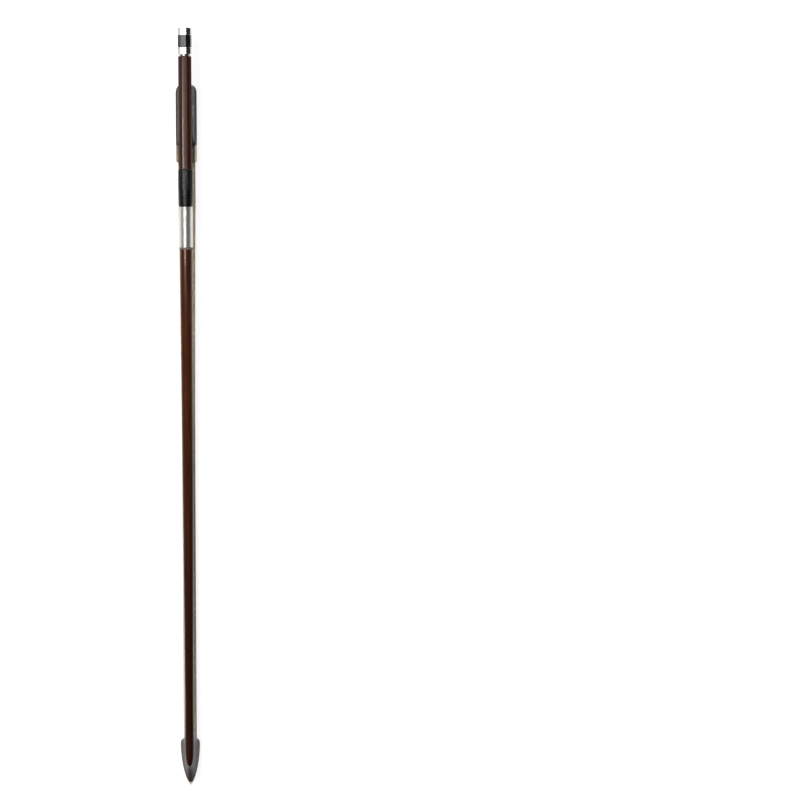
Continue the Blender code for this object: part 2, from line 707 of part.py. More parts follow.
def make_button():
    """Ebony core between two octagonal rings, the front one with a turned collar."""
    along = (1, 0, 0)
    centre = (0, 0, 0)
    corner = BUTTON_ACROSS / 2 / math.cos(EIGHTH_TURN / 2)
    flat = BUTTON_ACROSS / 2
    outside = corner + BUTTON_CHAMFER
    rear = -BUTTON_LENGTH
    rear_end = rear + REAR_RING_LENGTH
    front_start = -COLLAR_LENGTH - FRONT_RING_LENGTH

    ring = octagon_bar(
        "button_rear_ring", BUTTON_ACROSS, rear, rear_end, screw_axis, POLISHED_SILVER
    )
    profile = [
        (0.0, rear_end + BUTTON_CHAMFER),
        (outside, rear_end + BUTTON_CHAMFER),
        (outside, rear + 2 * BUTTON_CHAMFER),
        (flat - SEAT_GAP, rear - SEAT_GAP),
        (0.0, rear - SEAT_GAP),
    ]
    boolean(ring, "INTERSECT", turned("rear_turning", profile, centre, along, screw_axis))
    hole = rod("ring_bore", RING_BORE_RADIUS, -2 * BUTTON_LENGTH, BUTTON_LENGTH, centre, along, screw_axis)
    boolean(ring, "DIFFERENCE", hole)

    ring = octagon_bar(
        "button_front_ring", BUTTON_ACROSS, front_start, -COLLAR_LENGTH, screw_axis, POLISHED_SILVER
    )
    profile = [
        (0.0, -COLLAR_LENGTH + SEAT_GAP),
        (flat - SEAT_GAP, -COLLAR_LENGTH + SEAT_GAP),
        (outside, -COLLAR_LENGTH - 2 * BUTTON_CHAMFER),
        (outside, front_start - BUTTON_CHAMFER),
        (0.0, front_start - BUTTON_CHAMFER),
    ]
    boolean(ring, "INTERSECT", turned("front_turning", profile, centre, along, screw_axis))
    profile = [
        (0.0, -SEAM_GAP),
        (COLLAR_RADIUS, -SEAM_GAP),
        (COLLAR_RADIUS, -2 * SEAM_GAP),
        (COLLAR_WAIST_RADIUS, -COLLAR_LENGTH * 0.4),
        (COLLAR_WAIST_RADIUS, -COLLAR_LENGTH * 0.7),
        (COLLAR_RADIUS, -COLLAR_LENGTH - SEAM_GAP),
        (0.0, -COLLAR_LENGTH - SEAM_GAP),
    ]
    boolean(ring, "UNION", turned("collar", profile, centre, along, screw_axis))
    boolean(ring, "DIFFERENCE", hole)

    spigot = RING_BORE_RADIUS - SEAT_GAP
    core = octagon_bar(
        "button_core", CORE_ACROSS, rear_end + SEAM_GAP, front_start - SEAM_GAP, screw_axis, EBONY
    )
    spigot_front = -SPIGOT_LENGTH - 2 * SEAT_GAP
    spigot_rear = rear + SEAT_GAP
    boolean(core, "UNION", rod("core_spigot", spigot, spigot_rear, spigot_front, centre, along, screw_axis))
    tang_hole = rod(
        "tang_hole", SCREW_RADIUS + SEAT_GAP, -SCREW_TANG_DEPTH - SEAT_GAP, BUTTON_LENGTH, centre, along,
        screw_axis,
    )
    boolean(core, "DIFFERENCE", tang_hole)
    pearl_floor = spigot_rear + BUTTON_PEARL_DEPTH
    pearl_hole = rod(
        "pearl_hole", BUTTON_PEARL_RADIUS + SEAT_GAP, -2 * BUTTON_LENGTH, pearl_floor, centre, along,
        screw_axis,
    )
    boolean(core, "DIFFERENCE", pearl_hole)

    dome = BUTTON_PEARL_DEPTH / 4
    profile = [
        (0.0, pearl_floor - SEAM_GAP),
        (BUTTON_PEARL_RADIUS, pearl_floor - SEAM_GAP),
        (BUTTON_PEARL_RADIUS, spigot_rear + dome),
        (BUTTON_PEARL_RADIUS * 0.7, spigot_rear),
        (0.0, spigot_rear - dome / 2),
    ]
    turned("button_pearl", profile, centre, along, screw_axis, PEARL)


def make_screw():
    """Steel screw: tang in the button, shank, thread and a thinner pilot."""
    tip = PILOT_RADIUS / 2
    profile = [
        (0.0, SCREW_END_X),
        (tip, SCREW_END_X),
        (PILOT_RADIUS, SCREW_END_X - tip),
        (PILOT_RADIUS, THREAD_END_X + SCREW_RADIUS),
        (SCREW_RADIUS, THREAD_END_X),
        (SCREW_RADIUS, -SCREW_TANG_DEPTH),
        (0.0, -SCREW_TANG_DEPTH),
    ]
    turned("screw", profile, (0, 0, 0), (1, 0, 0), screw_axis, STEEL, steps=24)


def groove_point(offset, height=None):
    """(y, z) on the groove, offset below the stick's lower flats.

    Without a height it is the corner between the bottom and the slanted flat.
    """
    corner_y = (HANDLE_ACROSS / 2 + offset) * FACET_SLOPE
    corner_z = HANDLE_AXIS_HEIGHT - HANDLE_ACROSS / 2 - offset
    if height is None:
        return (corner_y, corner_z)
    return (corner_y + height - corner_z, height)


def ferrule_outline(inset=0.0, bottom=None):
    """(y, z) round the ferrule: flat below, rounded above."""
    half = FROG_WIDTH / 2 - inset
    corner = FERRULE_CORNER - inset
    top = FERRULE_HEIGHT - inset
    low = inset if bottom is None else bottom
    right = [(half, low)] + arc((half - corner, top - corner), (corner, corner), 0, 90, 8)
    return right + [(-y, z) for y, z in reversed(right)]


def flank_curve(hollow):
    """(y, z) up the flank: hollow behind, full like the ferrule in front."""
    half = FROG_WIDTH / 2
    reach_y = (half - WAIST_HALF_WIDTH) / (1 - math.cos(HOLLOW_SWEEP))
    reach_z = (HOLLOW_TOP - HOLLOW_BOTTOM) / math.sin(HOLLOW_SWEEP)
    full = arc(
        (half - FERRULE_CORNER, FERRULE_HEIGHT - FERRULE_CORNER),
        (FERRULE_CORNER, FERRULE_CORNER),
        0,
        90,
        8,
    )
    points = []
    for i, (full_y, full_z) in enumerate(full):
        turn = HOLLOW_SWEEP * (1 - i / 8)
        y = WAIST_HALF_WIDTH + reach_y * (1 - math.cos(turn))
        z = HOLLOW_TOP - reach_z * math.sin(turn)
        points.append((full_y + (y - full_y) * hollow, full_z + (z - full_z) * hollow))
    return points


def frog_ring(x, hollow):
    """One section across the frog's blank."""
    half = FROG_WIDTH / 2
    offset = LINING_THICKNESS + 2 * SEAM_GAP
    right = [(half - BOTTOM_CHAMFER, 0.0), (half, BOTTOM_CHAMFER)]
    right += flank_curve(hollow)
    right += [(RAIL_HALF_WIDTH, RAIL_TOP), groove_point(offset, RAIL_TOP), groove_point(offset)]
    outline = right + [(-y, z) for y, z in reversed(right)]
    return [Vector((x, y, z)) for y, z in outline]


def frog_side_profile():
    """(x, z) round the frog from the side: curved heel, throat and thumb tip."""
    low = -FROG_WIDTH
    high = 2 * RAIL_TOP
    heel = arc(
        (FROG_HEEL_X + HEEL_CURVE_REACH, HEEL_CURVE_START),
        (HEEL_CURVE_REACH, RAIL_TOP - HEEL_CURVE_START + SEAM_GAP),
        180,
        95,
        6,
    )
    nose = FERRULE_BACK_X - SEAT_GAP
    middle = (THROAT_CEILING + FERRULE_HEIGHT) / 2
    throat = arc(
        (FERRULE_BACK_X, middle),
        (THROAT_DEPTH, (THROAT_CEILING - FERRULE_HEIGHT) / 2),
        90,
        262,
        24,
    )
    tip_round = 0.35 * (RAIL_TOP - THROAT_CEILING)
    tip = [
        (THUMB_TIP_X - tip_round, high),
        (THUMB_TIP_X - tip_round, RAIL_TOP + SEAM_GAP),
        (THUMB_TIP_X, RAIL_TOP - tip_round),
        (THUMB_TIP_X - tip_round / 3, THROAT_CEILING + tip_round / 2),
        (THUMB_TIP_X - tip_round, THROAT_CEILING),
    ]
    return [(FROG_HEEL_X, low)] + heel + [(heel[-1][0], high)] + tip + throat + [(nose, FERRULE_HEIGHT), (nose, low)]


def heel_plan():
    """(x, y) round the frog from above, with rounded heel corners."""
    half = FROG_WIDTH / 2
    centre = (FROG_HEEL_X + HEEL_CORNER_LENGTH, half - HEEL_CORNER)
    corner = arc(centre, (HEEL_CORNER_LENGTH, HEEL_CORNER), 176, 94, 12)
    behind = FROG_HEEL_X - HEEL_CORNER
    beside = half + HEEL_CORNER
    ahead = FERRULE_FRONT_X + HEEL_CORNER
    right = [(behind, centre[1] - HEEL_CORNER / 2)] + corner
    right += [(centre[0] + HEEL_CORNER, beside), (ahead, beside)]
    return right + [(x, -y) for x, y in reversed(right)]


def dovetail(margin):
    """(y, z) across the slide, or its recess with a margin all round."""
    low = SLIDE_WIDTH / 2 + margin
    high = low + SLIDE_FLARE / 2
    top = SLIDE_THICKNESS + margin
    bottom = -SLIDE_THICKNESS if margin else 0.0
    below = low + (low - high) * (-bottom) / top
    return [(-below, bottom), (below, bottom), (high, top), (-high, top)]


def eye_tools(side):
    """Where an eye's centre lies and which way it faces, on one flank."""
    direction = Vector((0.0, side * math.cos(EYE_TILT), math.sin(EYE_TILT)))
    return (EYE_X, side * EYE_FACE_Y, EYE_HEIGHT), direction


def make_frog():
    """The ebony frog."""
    half = FROG_WIDTH / 2
    before = FERRULE_BACK_X - HOLLOW_END_X
    stations = [(FROG_HEEL_X - HEEL_CORNER, 1.0), (HOLLOW_END_X, 1.0)]
    for share in (0.25, 0.5, 0.75, 1.0):
        stations.append((HOLLOW_END_X + before * share, 1 - ease(share)))
    stations.append((FERRULE_FRONT_X, 0.0))
    frog = loft("frog", [frog_ring(x, hollow) for x, hollow in stations], frog_base, EBONY)
    side = prism("frog_side", frog_side_profile(), "Y", -FROG_WIDTH, FROG_WIDTH, frog_base)
    boolean(frog, "INTERSECT", side)
    plan = prism("frog_plan", heel_plan(), "Z", -RAIL_TOP, 2 * RAIL_TOP, frog_base)
    boolean(frog, "INTERSECT", plan)

    tongue_outline = ferrule_outline(FERRULE_WALL + SEAT_GAP, TONGUE_BOTTOM)
    tongue_x = (FERRULE_BACK_X - 4 * FERRULE_WALL, FERRULE_FRONT_X - TONGUE_RECESS)
    boolean(frog, "UNION", prism("tongue", tongue_outline, "X", *tongue_x, frog_base))

    recess_x = (SLIDE_START_X - SEAT_GAP, FERRULE_FRONT_X)
    boolean(frog, "DIFFERENCE", prism("slide_recess", dovetail(SEAM_GAP), "X", *recess_x, frog_base))
    channel_half = CHANNEL_WIDTH / 2
    channel = box(
        "hair_channel",
        (FROG_POCKET_FRONT_X - SEAT_GAP, FERRULE_FRONT_X),
        (-channel_half, channel_half),
        (SLIDE_THICKNESS, TONGUE_BOTTOM - SEAM_GAP / 2),
        frog_base,
    )
    boolean(frog, "DIFFERENCE", channel)
    pocket_half = FROG_POCKET_WIDTH / 2
    pocket = box(
        "frog_pocket",
        (FROG_POCKET_BACK_X, FROG_POCKET_FRONT_X),
        (-pocket_half, pocket_half),
        (SLIDE_THICKNESS / 2, FROG_POCKET_TOP),
        frog_base,
    )
    boolean(frog, "DIFFERENCE", pocket)

    floor = groove_point(LINING_THICKNESS + 2 * SEAM_GAP)[1]
    shank_radius = EYELET_SHANK_RADIUS + SEAT_GAP
    shank_hole = rod(
        "shank_hole", shank_radius, floor - EYELET_SHANK_DEPTH - SEAT_GAP, HANDLE_AXIS_HEIGHT,
        (EYELET_X, 0, 0), (0, 0, 1), frog_base,
    )
    boolean(frog, "DIFFERENCE", shank_hole)
    pin_holes = {}
    for name, x in lining_pins():
        pin_holes[name] = rod(
            "hole_" + name, LINING_PIN_RADIUS + SEAT_GAP, floor - LINING_PIN_DEPTH - SEAT_GAP,
            HANDLE_AXIS_HEIGHT, (x, 0, 0), (0, 0, 1), frog_base, steps=16,
        )
        boolean(frog, "DIFFERENCE", pin_holes[name])
    for label, sign in (("left", 1), ("right", -1)):
        place, direction = eye_tools(sign)
        recess = rod(
            "eye_recess_" + label, EYE_RING_RADIUS + SEAM_GAP, -EYE_DEPTH - SEAT_GAP, half,
            place, direction, frog_base, steps=32,
        )
        boolean(frog, "DIFFERENCE", recess)
    return shank_hole, pin_holes


def lining_pins():
    return (
        ("liner_pin_rear", FROG_HEEL_X + LINING_PIN_INSET),
        ("liner_pin_front", LINING_PIN_FRONT_X),
    )


def make_lining(shank_hole, pin_holes):
    """Metal lining of the groove with the two pins that hold it."""
    right = [
        groove_point(SEAM_GAP),
        groove_point(SEAM_GAP, RAIL_TOP),
        groove_point(SEAM_GAP + LINING_THICKNESS, RAIL_TOP),
        groove_point(SEAM_GAP + LINING_THICKNESS),
    ]
    top = right[:2]
    under = right[2:]
    outline = [(-y, z) for y, z in reversed(top)] + top + under + [(-y, z) for y, z in reversed(under)]
    ends = (FROG_HEEL_X + HEEL_CURVE_REACH, THUMB_TIP_X - SLOT_MARGIN)
    lining = prism("groove_liner", outline, "X", *ends, frog_base, NICKEL_SILVER)
    boolean(lining, "DIFFERENCE", shank_hole)
    floor = groove_point(LINING_THICKNESS + 2 * SEAM_GAP)[1]
    top_of_pin = groove_point(2 * SEAM_GAP)[1]
    for name, x in lining_pins():
        boolean(lining, "DIFFERENCE", pin_holes[name])
        rod(
            name, LINING_PIN_RADIUS, floor - LINING_PIN_DEPTH, top_of_pin, (x, 0, 0), (0, 0, 1),
            frog_base, BRASS, steps=16,
        )


def make_ferrule():
    """D-shaped ferrule with cut front corners, and the wedge that spreads the hair."""
    ends = (FERRULE_BACK_X, FERRULE_FRONT_X)
    rings = []
    for inset in (0.0, FERRULE_WALL):
        outline = ferrule_outline(inset)
        rings.append([[Vector((x, y, z)) for y, z in outline] for x in ends])
    ferrule = sleeve("ferrule", rings[0], rings[1], frog_base, NICKEL_SILVER)
    half = FROG_WIDTH / 2
    past = FERRULE_CHAMFER
    for label, side in (("left", 1), ("right", -1)):
        corner = [
            (FERRULE_FRONT_X - 2 * past, side * (half + past)),
            (FERRULE_FRONT_X + past, side * (half - 2 * past)),
            (FERRULE_FRONT_X + past, side * (half + past)),
        ]
        cut = prism("ferrule_corner_" + label, corner, "Z", -FERRULE_HEIGHT, 2 * FERRULE_HEIGHT, frog_base)
        boolean(ferrule, "DIFFERENCE", cut)

    mouth = FERRULE_FRONT_X - TONGUE_RECESS
    back = FERRULE_BACK_X + 3 * HAIR_THICKNESS
    bend = hair_path()[FERRULE_BEND][0]
    top = TONGUE_BOTTOM - SEAM_GAP
    outline = [(back, top), (back, hair_top(back)), (bend, hair_top(bend)), (mouth, hair_top(mouth)), (mouth, top)]
    wedge_half = half - FERRULE_WALL - 2 * SEAT_GAP
    prism("spread_wedge", outline, "Y", -wedge_half, wedge_half, frog_base, PALE_WOOD)


def make_slide():
    """Ebony slide with its pearl strip, and the plug above it."""
    end = FERRULE_BACK_X - 2 * SEAT_GAP
    slide = prism("slide", dovetail(0.0), "X", SLIDE_START_X, end, frog_base, EBONY)
    half = PEARL_WIDTH / 2
    inset = (SLIDE_START_X + PEARL_MARGIN, end - PEARL_MARGIN)
    bed = box(
        "pearl_bed",
        (inset[0] - SEAM_GAP, inset[1] + SEAM_GAP),
        (-half - SEAM_GAP, half + SEAM_GAP),
        (-PEARL_THICKNESS, PEARL_THICKNESS + SEAM_GAP),
        frog_base,
    )
    boolean(slide, "DIFFERENCE", bed)
    box("slide_pearl", inset, (-half, half), (0.0, PEARL_THICKNESS), frog_base, PEARL)

    plug_half = FROG_POCKET_WIDTH / 2 - SEAT_GAP
    plug_x = (FROG_POCKET_BACK_X + SEAT_GAP, FROG_POCKET_FRONT_X - 3 * HAIR_THICKNESS)
    plug_z = (SLIDE_THICKNESS + SEAT_GAP, FROG_PLUG_TOP)
    box("frog_plug", plug_x, (-plug_half, plug_half), plug_z, frog_base, PALE_WOOD)


def make_eyes():
    """A pearl dot inside a ring on each flank."""
    for label, sign in (("left", 1), ("right", -1)):
        place, direction = eye_tools(sign)
        bore = EYE_PEARL_RADIUS + SEAM_GAP
        ring = [
            (bore, 0.0),
            (EYE_RING_RADIUS, 0.0),
            (EYE_RING_RADIUS, -EYE_DEPTH),
            (bore, -EYE_DEPTH),
        ]
        turned("eye_ring_" + label, ring, place, direction, frog_base, NICKEL_SILVER)
        rod(
            "eye_pearl_" + label, EYE_PEARL_RADIUS, -EYE_DEPTH, 0.0, place, direction, frog_base,
            PEARL, steps=32,
        )


def make_eyelet():
    """Brass eyelet: a rounded block round the screw, with a shank into the frog."""
    half = EYELET_WIDTH / 2
    top = HANDLE_AXIS_HEIGHT + EYELET_TOP_ABOVE_AXIS
    neck = HANDLE_AXIS_HEIGHT - EYELET_NECK_BELOW_AXIS
    outline = [(-half, neck), (half, neck)] + arc((0, top - half), (half, half), 0, 180, 12)
    ends = (EYELET_X - EYELET_LENGTH / 2, EYELET_X + EYELET_LENGTH / 2)
    eyelet = prism("eyelet", outline, "X", *ends, frog_base, BRASS)
    floor = groove_point(LINING_THICKNESS + 2 * SEAM_GAP)[1]
    shank = rod(
        "eyelet_shank", EYELET_SHANK_RADIUS, floor - EYELET_SHANK_DEPTH, neck + SEAT_GAP,
        (EYELET_X, 0, 0), (0, 0, 1), frog_base,
    )
    boolean(eyelet, "UNION", shank)
    hole = rod(
        "eyelet_hole", SCREW_RADIUS + SEAT_GAP, -BUTTON_LENGTH, SCREW_END_X,
        (0, 0, HANDLE_AXIS_HEIGHT), (1, 0, 0), frog_base,
    )
    boolean(eyelet, "DIFFERENCE", hole)


FERRULE_BEND = 7


def hair_path():
    """(x, z, width, thickness) along the hair from the frog's knot to the head's."""
    knot_face = FROG_POCKET_FRONT_X - 3 * HAIR_THICKNESS - SEAT_GAP
    wall = FROG_POCKET_FRONT_X
    floor = SLIDE_THICKNESS + SEAT_GAP + HAIR_THICKNESS / 2
    rise = HAIR_THICKNESS
    narrow = HAIR_FERRULE_WIDTH * 0.57
    thick = HAIR_THICKNESS
    in_ferrule = FERRULE_WALL + SEAT_GAP + HAIR_THICKNESS / 2
    bend = FERRULE_FRONT_X - 3.3 * HAIR_THICKNESS
    path = [
        (knot_face, floor + 4.7 * rise, narrow, thick),
        (wall - 2.2 * rise, floor + 4.2 * rise, narrow, thick),
        (wall - 1.7 * rise, floor + 2.9 * rise, narrow * 1.05, thick),
        (wall - 1.3 * rise, floor + 1.2 * rise, narrow * 1.1, thick),
        (wall + 0.4 * rise, floor + 0.25 * rise, narrow * 1.18, thick),
        (wall + 2.8 * rise, floor, narrow * 1.28, thick),
        (FERRULE_BACK_X + SEAT_GAP, floor, HAIR_FERRULE_WIDTH * 0.9, thick),
        (bend, in_ferrule, HAIR_FERRULE_WIDTH * 0.99, thick),
        (FERRULE_FRONT_X, in_ferrule, HAIR_FERRULE_WIDTH, thick),
    ]
    back = HEAD_POCKET_BACK_X
    low = HAIR_HEAD_HEIGHT
    wide = HAIR_HEAD_WIDTH
    thin = HAIR_HEAD_THICKNESS
    for share in (0.12, 0.25, 0.5, 0.75):
        x = FERRULE_FRONT_X + (HEAD_BACK_X - FERRULE_FRONT_X) * share
        path.append(
            (
                x,
                in_ferrule + (low - in_ferrule) * share,
                wide + (HAIR_FERRULE_WIDTH - wide) * (1 - share) ** HAIR_NARROWING,
                thick + (thin - thick) * share,
            )
        )
    path += [
        (HEAD_BACK_X, low, wide, thin),
        (back - 0.3 * rise, low, wide * 0.9, thin),
        (back + 1.3 * rise, low + 0.35 * rise, wide * 0.87, thin),
        (back + 2.4 * rise, low + 1.4 * rise, wide * 0.83, thin),
        (back + 2.8 * rise, low + 3.1 * rise, wide * 0.78, thin),
        (back + 3.3 * rise, low + 4.9 * rise, wide * 0.72, thin),
        (back + 2 * thick + HEAD_POCKET_TOP / 3, low + 6.0 * rise, wide * 0.7, thin),
    ]
    return path


def hair_top(x):
    """Height just clear above the hair, between the pocket and the head."""
    path = hair_path()[FERRULE_BEND - 2:FERRULE_BEND + 2]
    centre = float(np.interp(x, [place[0] for place in path], [place[1] for place in path]))
    return centre + HAIR_THICKNESS / 2 + SEAM_GAP


def make_hair():
    """The ribbon of hair, its faces grooved into locks."""
    path = hair_path()
    rings = []
    for i, (x, z, width, thickness) in enumerate(path):
        before = path[max(i - 1, 0)]
        after = path[min(i + 1, len(path) - 1)]
        along = Vector((after[0] - before[0], 0.0, after[1] - before[1])).normalized()
        if i in (0, len(path) - 1):
            along = Vector((1.0, 0.0, 0.0))
        up = Vector((-along.z, 0.0, along.x))
        ring = []
        steps = 2 * HAIR_LOCKS
        for sign in (1, -1):
            for k in range(steps + 1):
                share = k / steps if sign > 0 else 1 - k / steps
                groove = HAIR_LOCK_DEPTH if k % 2 == 0 else 0.0
                edge = 0.25 * thickness if k in (0, steps) else 0.0
                rise = thickness / 2 - groove - edge
                ring.append(Vector((x, width * (share - 0.5), z)) + up * sign * rise)
        rings.append(ring)
    loft("hair", rings, stick_base, HAIR)


make_stick()
make_head_fittings()
make_knots()
make_grip()
make_winding()
make_button()
make_screw()
make_lining(*make_frog())
make_ferrule()
make_slide()
make_eyes()
make_eyelet()
make_hair()
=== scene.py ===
"""A double bass bow dressed for rendering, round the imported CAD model.

X runs from the button to the head, Z up from the hair to the stick, in metres.
Distances along the bow are counted from the stick's end at the button.
"""
import json
import math

import bmesh
import bpy
import numpy as np
from mathutils import Matrix, Vector, noise

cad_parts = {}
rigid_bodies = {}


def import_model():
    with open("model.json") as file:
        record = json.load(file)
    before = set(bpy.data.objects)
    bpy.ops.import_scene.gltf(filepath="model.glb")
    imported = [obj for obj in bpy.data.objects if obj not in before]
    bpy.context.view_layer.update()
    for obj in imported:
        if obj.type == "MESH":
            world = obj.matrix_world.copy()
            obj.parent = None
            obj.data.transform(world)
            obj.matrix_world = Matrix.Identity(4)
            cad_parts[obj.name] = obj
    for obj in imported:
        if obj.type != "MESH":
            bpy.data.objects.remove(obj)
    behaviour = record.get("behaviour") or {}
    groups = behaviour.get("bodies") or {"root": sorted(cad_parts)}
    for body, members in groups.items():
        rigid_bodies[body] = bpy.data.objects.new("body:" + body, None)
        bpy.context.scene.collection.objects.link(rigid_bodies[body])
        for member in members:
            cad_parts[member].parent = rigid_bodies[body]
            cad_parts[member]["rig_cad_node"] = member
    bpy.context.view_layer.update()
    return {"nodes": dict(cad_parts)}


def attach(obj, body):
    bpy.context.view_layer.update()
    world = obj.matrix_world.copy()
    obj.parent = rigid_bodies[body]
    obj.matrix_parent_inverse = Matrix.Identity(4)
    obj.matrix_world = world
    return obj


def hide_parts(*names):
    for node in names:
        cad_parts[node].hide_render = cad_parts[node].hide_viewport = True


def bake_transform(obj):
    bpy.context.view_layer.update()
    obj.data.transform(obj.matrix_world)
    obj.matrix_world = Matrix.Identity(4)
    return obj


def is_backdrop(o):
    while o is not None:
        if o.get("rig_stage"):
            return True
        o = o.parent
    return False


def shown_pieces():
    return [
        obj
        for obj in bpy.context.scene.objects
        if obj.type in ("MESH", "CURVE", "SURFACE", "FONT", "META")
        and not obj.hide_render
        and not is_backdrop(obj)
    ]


RANDOM_SEED = 11

# Camera: straight down on the bow, which lies left of the picture's middle
FRAME_PIXELS = 800
METRES_PER_PIXEL = 0.0009445
CAMERA_DISTANCE = 18.0
CAMERA_SENSOR = 36.0
CAMERA_CLIP_START = 0.1
CAMERA_ROLL = math.radians(1.4)
BOW_LEAN = math.radians(0.382)
VIEW_CENTRE = Vector((-0.0047, 0.20085, 0.020))

# The bow's main places, as in the CAD model
STICK_START_X = -0.3305
HANDLE_AXIS_HEIGHT = 0.03225
HANDLE_ACROSS = 0.0125
GRIP_START_X = 0.1064
GRIP_END_X = 0.1418
GRIP_BACK_ACROSS = 0.0134
GRIP_FRONT_ACROSS = 0.0131
GRIP_BULGE = 0.0005
GRIP_SOFTNESS = 0.35
GRIP_FRONT_DIAMETER = 0.0121
FORE_DIAMETER = 0.01175
WINDING_SEAT_DEPTH = 0.00025
WINDING_END_X = 0.1809
BAND_LENGTH = 0.0013
WRAP_GAP = 0.00015
SEAM_GAP = 0.0002

rng = np.random.default_rng(RANDOM_SEED)

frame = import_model()
nodes = frame["nodes"]


class Look:
    """A Principled material with helpers that wire its texture nodes."""

    def __init__(self, name, color, roughness, metallic=0.0, **sockets):
        self.material = bpy.data.materials.new(name)
        self.material.use_nodes = True
        self.tree = self.material.node_tree
        self.shader = self.tree.nodes["Principled BSDF"]
        self.shader.inputs["Base Color"].default_value = (*color, 1.0)
        self.shader.inputs["Roughness"].default_value = roughness
        self.shader.inputs["Metallic"].default_value = metallic
        for socket, value in sockets.items():
            self.shader.inputs[socket.replace("_", " ")].default_value = value
        self.point = self.add("ShaderNodeTexCoord").outputs["Object"]
        self.normal = None

    def add(self, kind, **values):
        node = self.tree.nodes.new(kind)
        for key, value in values.items():
            setattr(node, key, value)
        return node

    def link(self, source, target):
        self.tree.links.new(source, target)

    def stretch(self, *scale):
        """The object's own coordinates, multiplied along each axis."""
        node = self.add("ShaderNodeMapping")
        node.inputs["Scale"].default_value = scale
        self.link(self.point, node.inputs["Vector"])
        return node.outputs["Vector"]

    def noise(self, vector, detail=3.0, rough=0.5, distortion=0.0):
        node = self.add("ShaderNodeTexNoise")
        node.inputs["Scale"].default_value = 1.0
        node.inputs["Detail"].default_value = detail
        node.inputs["Roughness"].default_value = rough
        node.inputs["Distortion"].default_value = distortion
        self.link(vector, node.inputs["Vector"])
        return node.outputs["Fac"]

    def cell_edges(self, vector):
        """Distance to the nearest edge between random cells."""
        node = self.add("ShaderNodeTexVoronoi", feature="DISTANCE_TO_EDGE")
        node.inputs["Scale"].default_value = 1.0
        self.link(vector, node.inputs["Vector"])
        return node.outputs["Distance"]

    def ramp(self, value, stops):
        """Colours, or greys, placed along a value from 0 to 1."""
        node = self.add("ShaderNodeValToRGB")
        elements = node.color_ramp.elements
        while len(elements) < len(stops):
            elements.new(0.5)
        for element, (place, color) in zip(elements, stops):
            grey = (color,) * 3 if isinstance(color, (int, float)) else color
            element.position = place
            element.color = (*grey, 1.0)
        self.link(value, node.inputs["Fac"])
        return node.outputs["Color"]

    def math(self, operation, first, second):
        node = self.add("ShaderNodeMath", operation=operation)
        for socket, value in zip(node.inputs, (first, second)):
            if isinstance(value, (int, float)):
                socket.default_value = value
            else:
                self.link(value, socket)
        return node.outputs["Value"]

    def mix(self, factor, first, second):
        """The first colour where the factor is 0, the second where it is 1."""
        node = self.add("ShaderNodeMix", data_type="RGBA")
        for name, value in (("Factor", factor), ("A", first), ("B", second)):
            socket = next(s for s in node.inputs if s.name == name and s.enabled)
            if isinstance(value, tuple):
                socket.default_value = (*value, 1.0)
            else:
                self.link(value, socket)
        return next(s for s in node.outputs if s.enabled)

    def bump(self, height, depth):
        """Raise the surface by depth metres where height is 1."""
        node = self.add("ShaderNodeBump")
        node.inputs["Strength"].default_value = 1.0
        node.inputs["Distance"].default_value = depth
        self.link(height, node.inputs["Height"])
        if self.normal is not None:
            self.link(self.normal, node.inputs["Normal"])
        self.normal = node.outputs["Normal"]
        self.link(self.normal, self.shader.inputs["Normal"])

    def color(self, value):
        self.link(value, self.shader.inputs["Base Color"])

    def rough(self, value):
        self.link(value, self.shader.inputs["Roughness"])

    def along(self, start, end):
        """0 at start and 1 at end, counted along the bow."""
        split = self.add("ShaderNodeSeparateXYZ")
        self.link(self.point, split.inputs["Vector"])
        node = self.add("ShaderNodeMapRange")
        node.inputs["From Min"].default_value = start + STICK_START_X
        node.inputs["From Max"].default_value = end + STICK_START_X
        self.link(split.outputs["X"], node.inputs["Value"])
        return node.outputs["Result"]


def stick_look():
    """Varnished reddish brown wood, darkened at the handle and towards the head."""
    look = Look("stick_varnish", (0.04, 0.009, 0.003), 0.18, Specular_IOR_Level=0.21)
    streaks = look.noise(look.stretch(9, 520, 520), detail=6, rough=0.62, distortion=0.35)
    wood = look.ramp(
        streaks,
        [
            (0.28, (0.034, 0.0078, 0.0026)),
            (0.5, (0.063, 0.0150, 0.0042)),
            (0.72, (0.096, 0.0260, 0.0066)),
        ],
    )
    shade = look.noise(look.stretch(22, 60, 60), detail=2)
    wood = look.mix(look.math("MULTIPLY", shade, 0.5), wood, (0.038, 0.0090, 0.0028))
    # The wood is darker from 0.17 m along the bow back to the button
    handle_end_darkening = look.math("MULTIPLY", look.along(0.17, 0.12), 0.4)
    wood = look.mix(handle_end_darkening, wood, (0.019, 0.0022, 0.0018))
    darker = look.math("MULTIPLY", look.along(0.33, 0.56), 0.8)
    wood = look.mix(darker, wood, (0.021, 0.0032, 0.0007))
    pores = look.noise(look.stretch(150, 3600, 3600), detail=2)
    dashes = look.ramp(pores, [(0.36, 1.0), (0.43, 0.0)])
    wood = look.mix(look.math("MULTIPLY", dashes, 0.6), wood, (0.010, 0.003, 0.002))
    look.color(wood)
    look.bump(pores, 0.00002)
    polish = look.math("ADD", look.math("MULTIPLY", streaks, 0.14), 0.065)
    satin_head = look.math("MULTIPLY", look.along(0.625, 0.650), 0.22)
    look.rough(look.math("ADD", polish, satin_head))
    return look.material


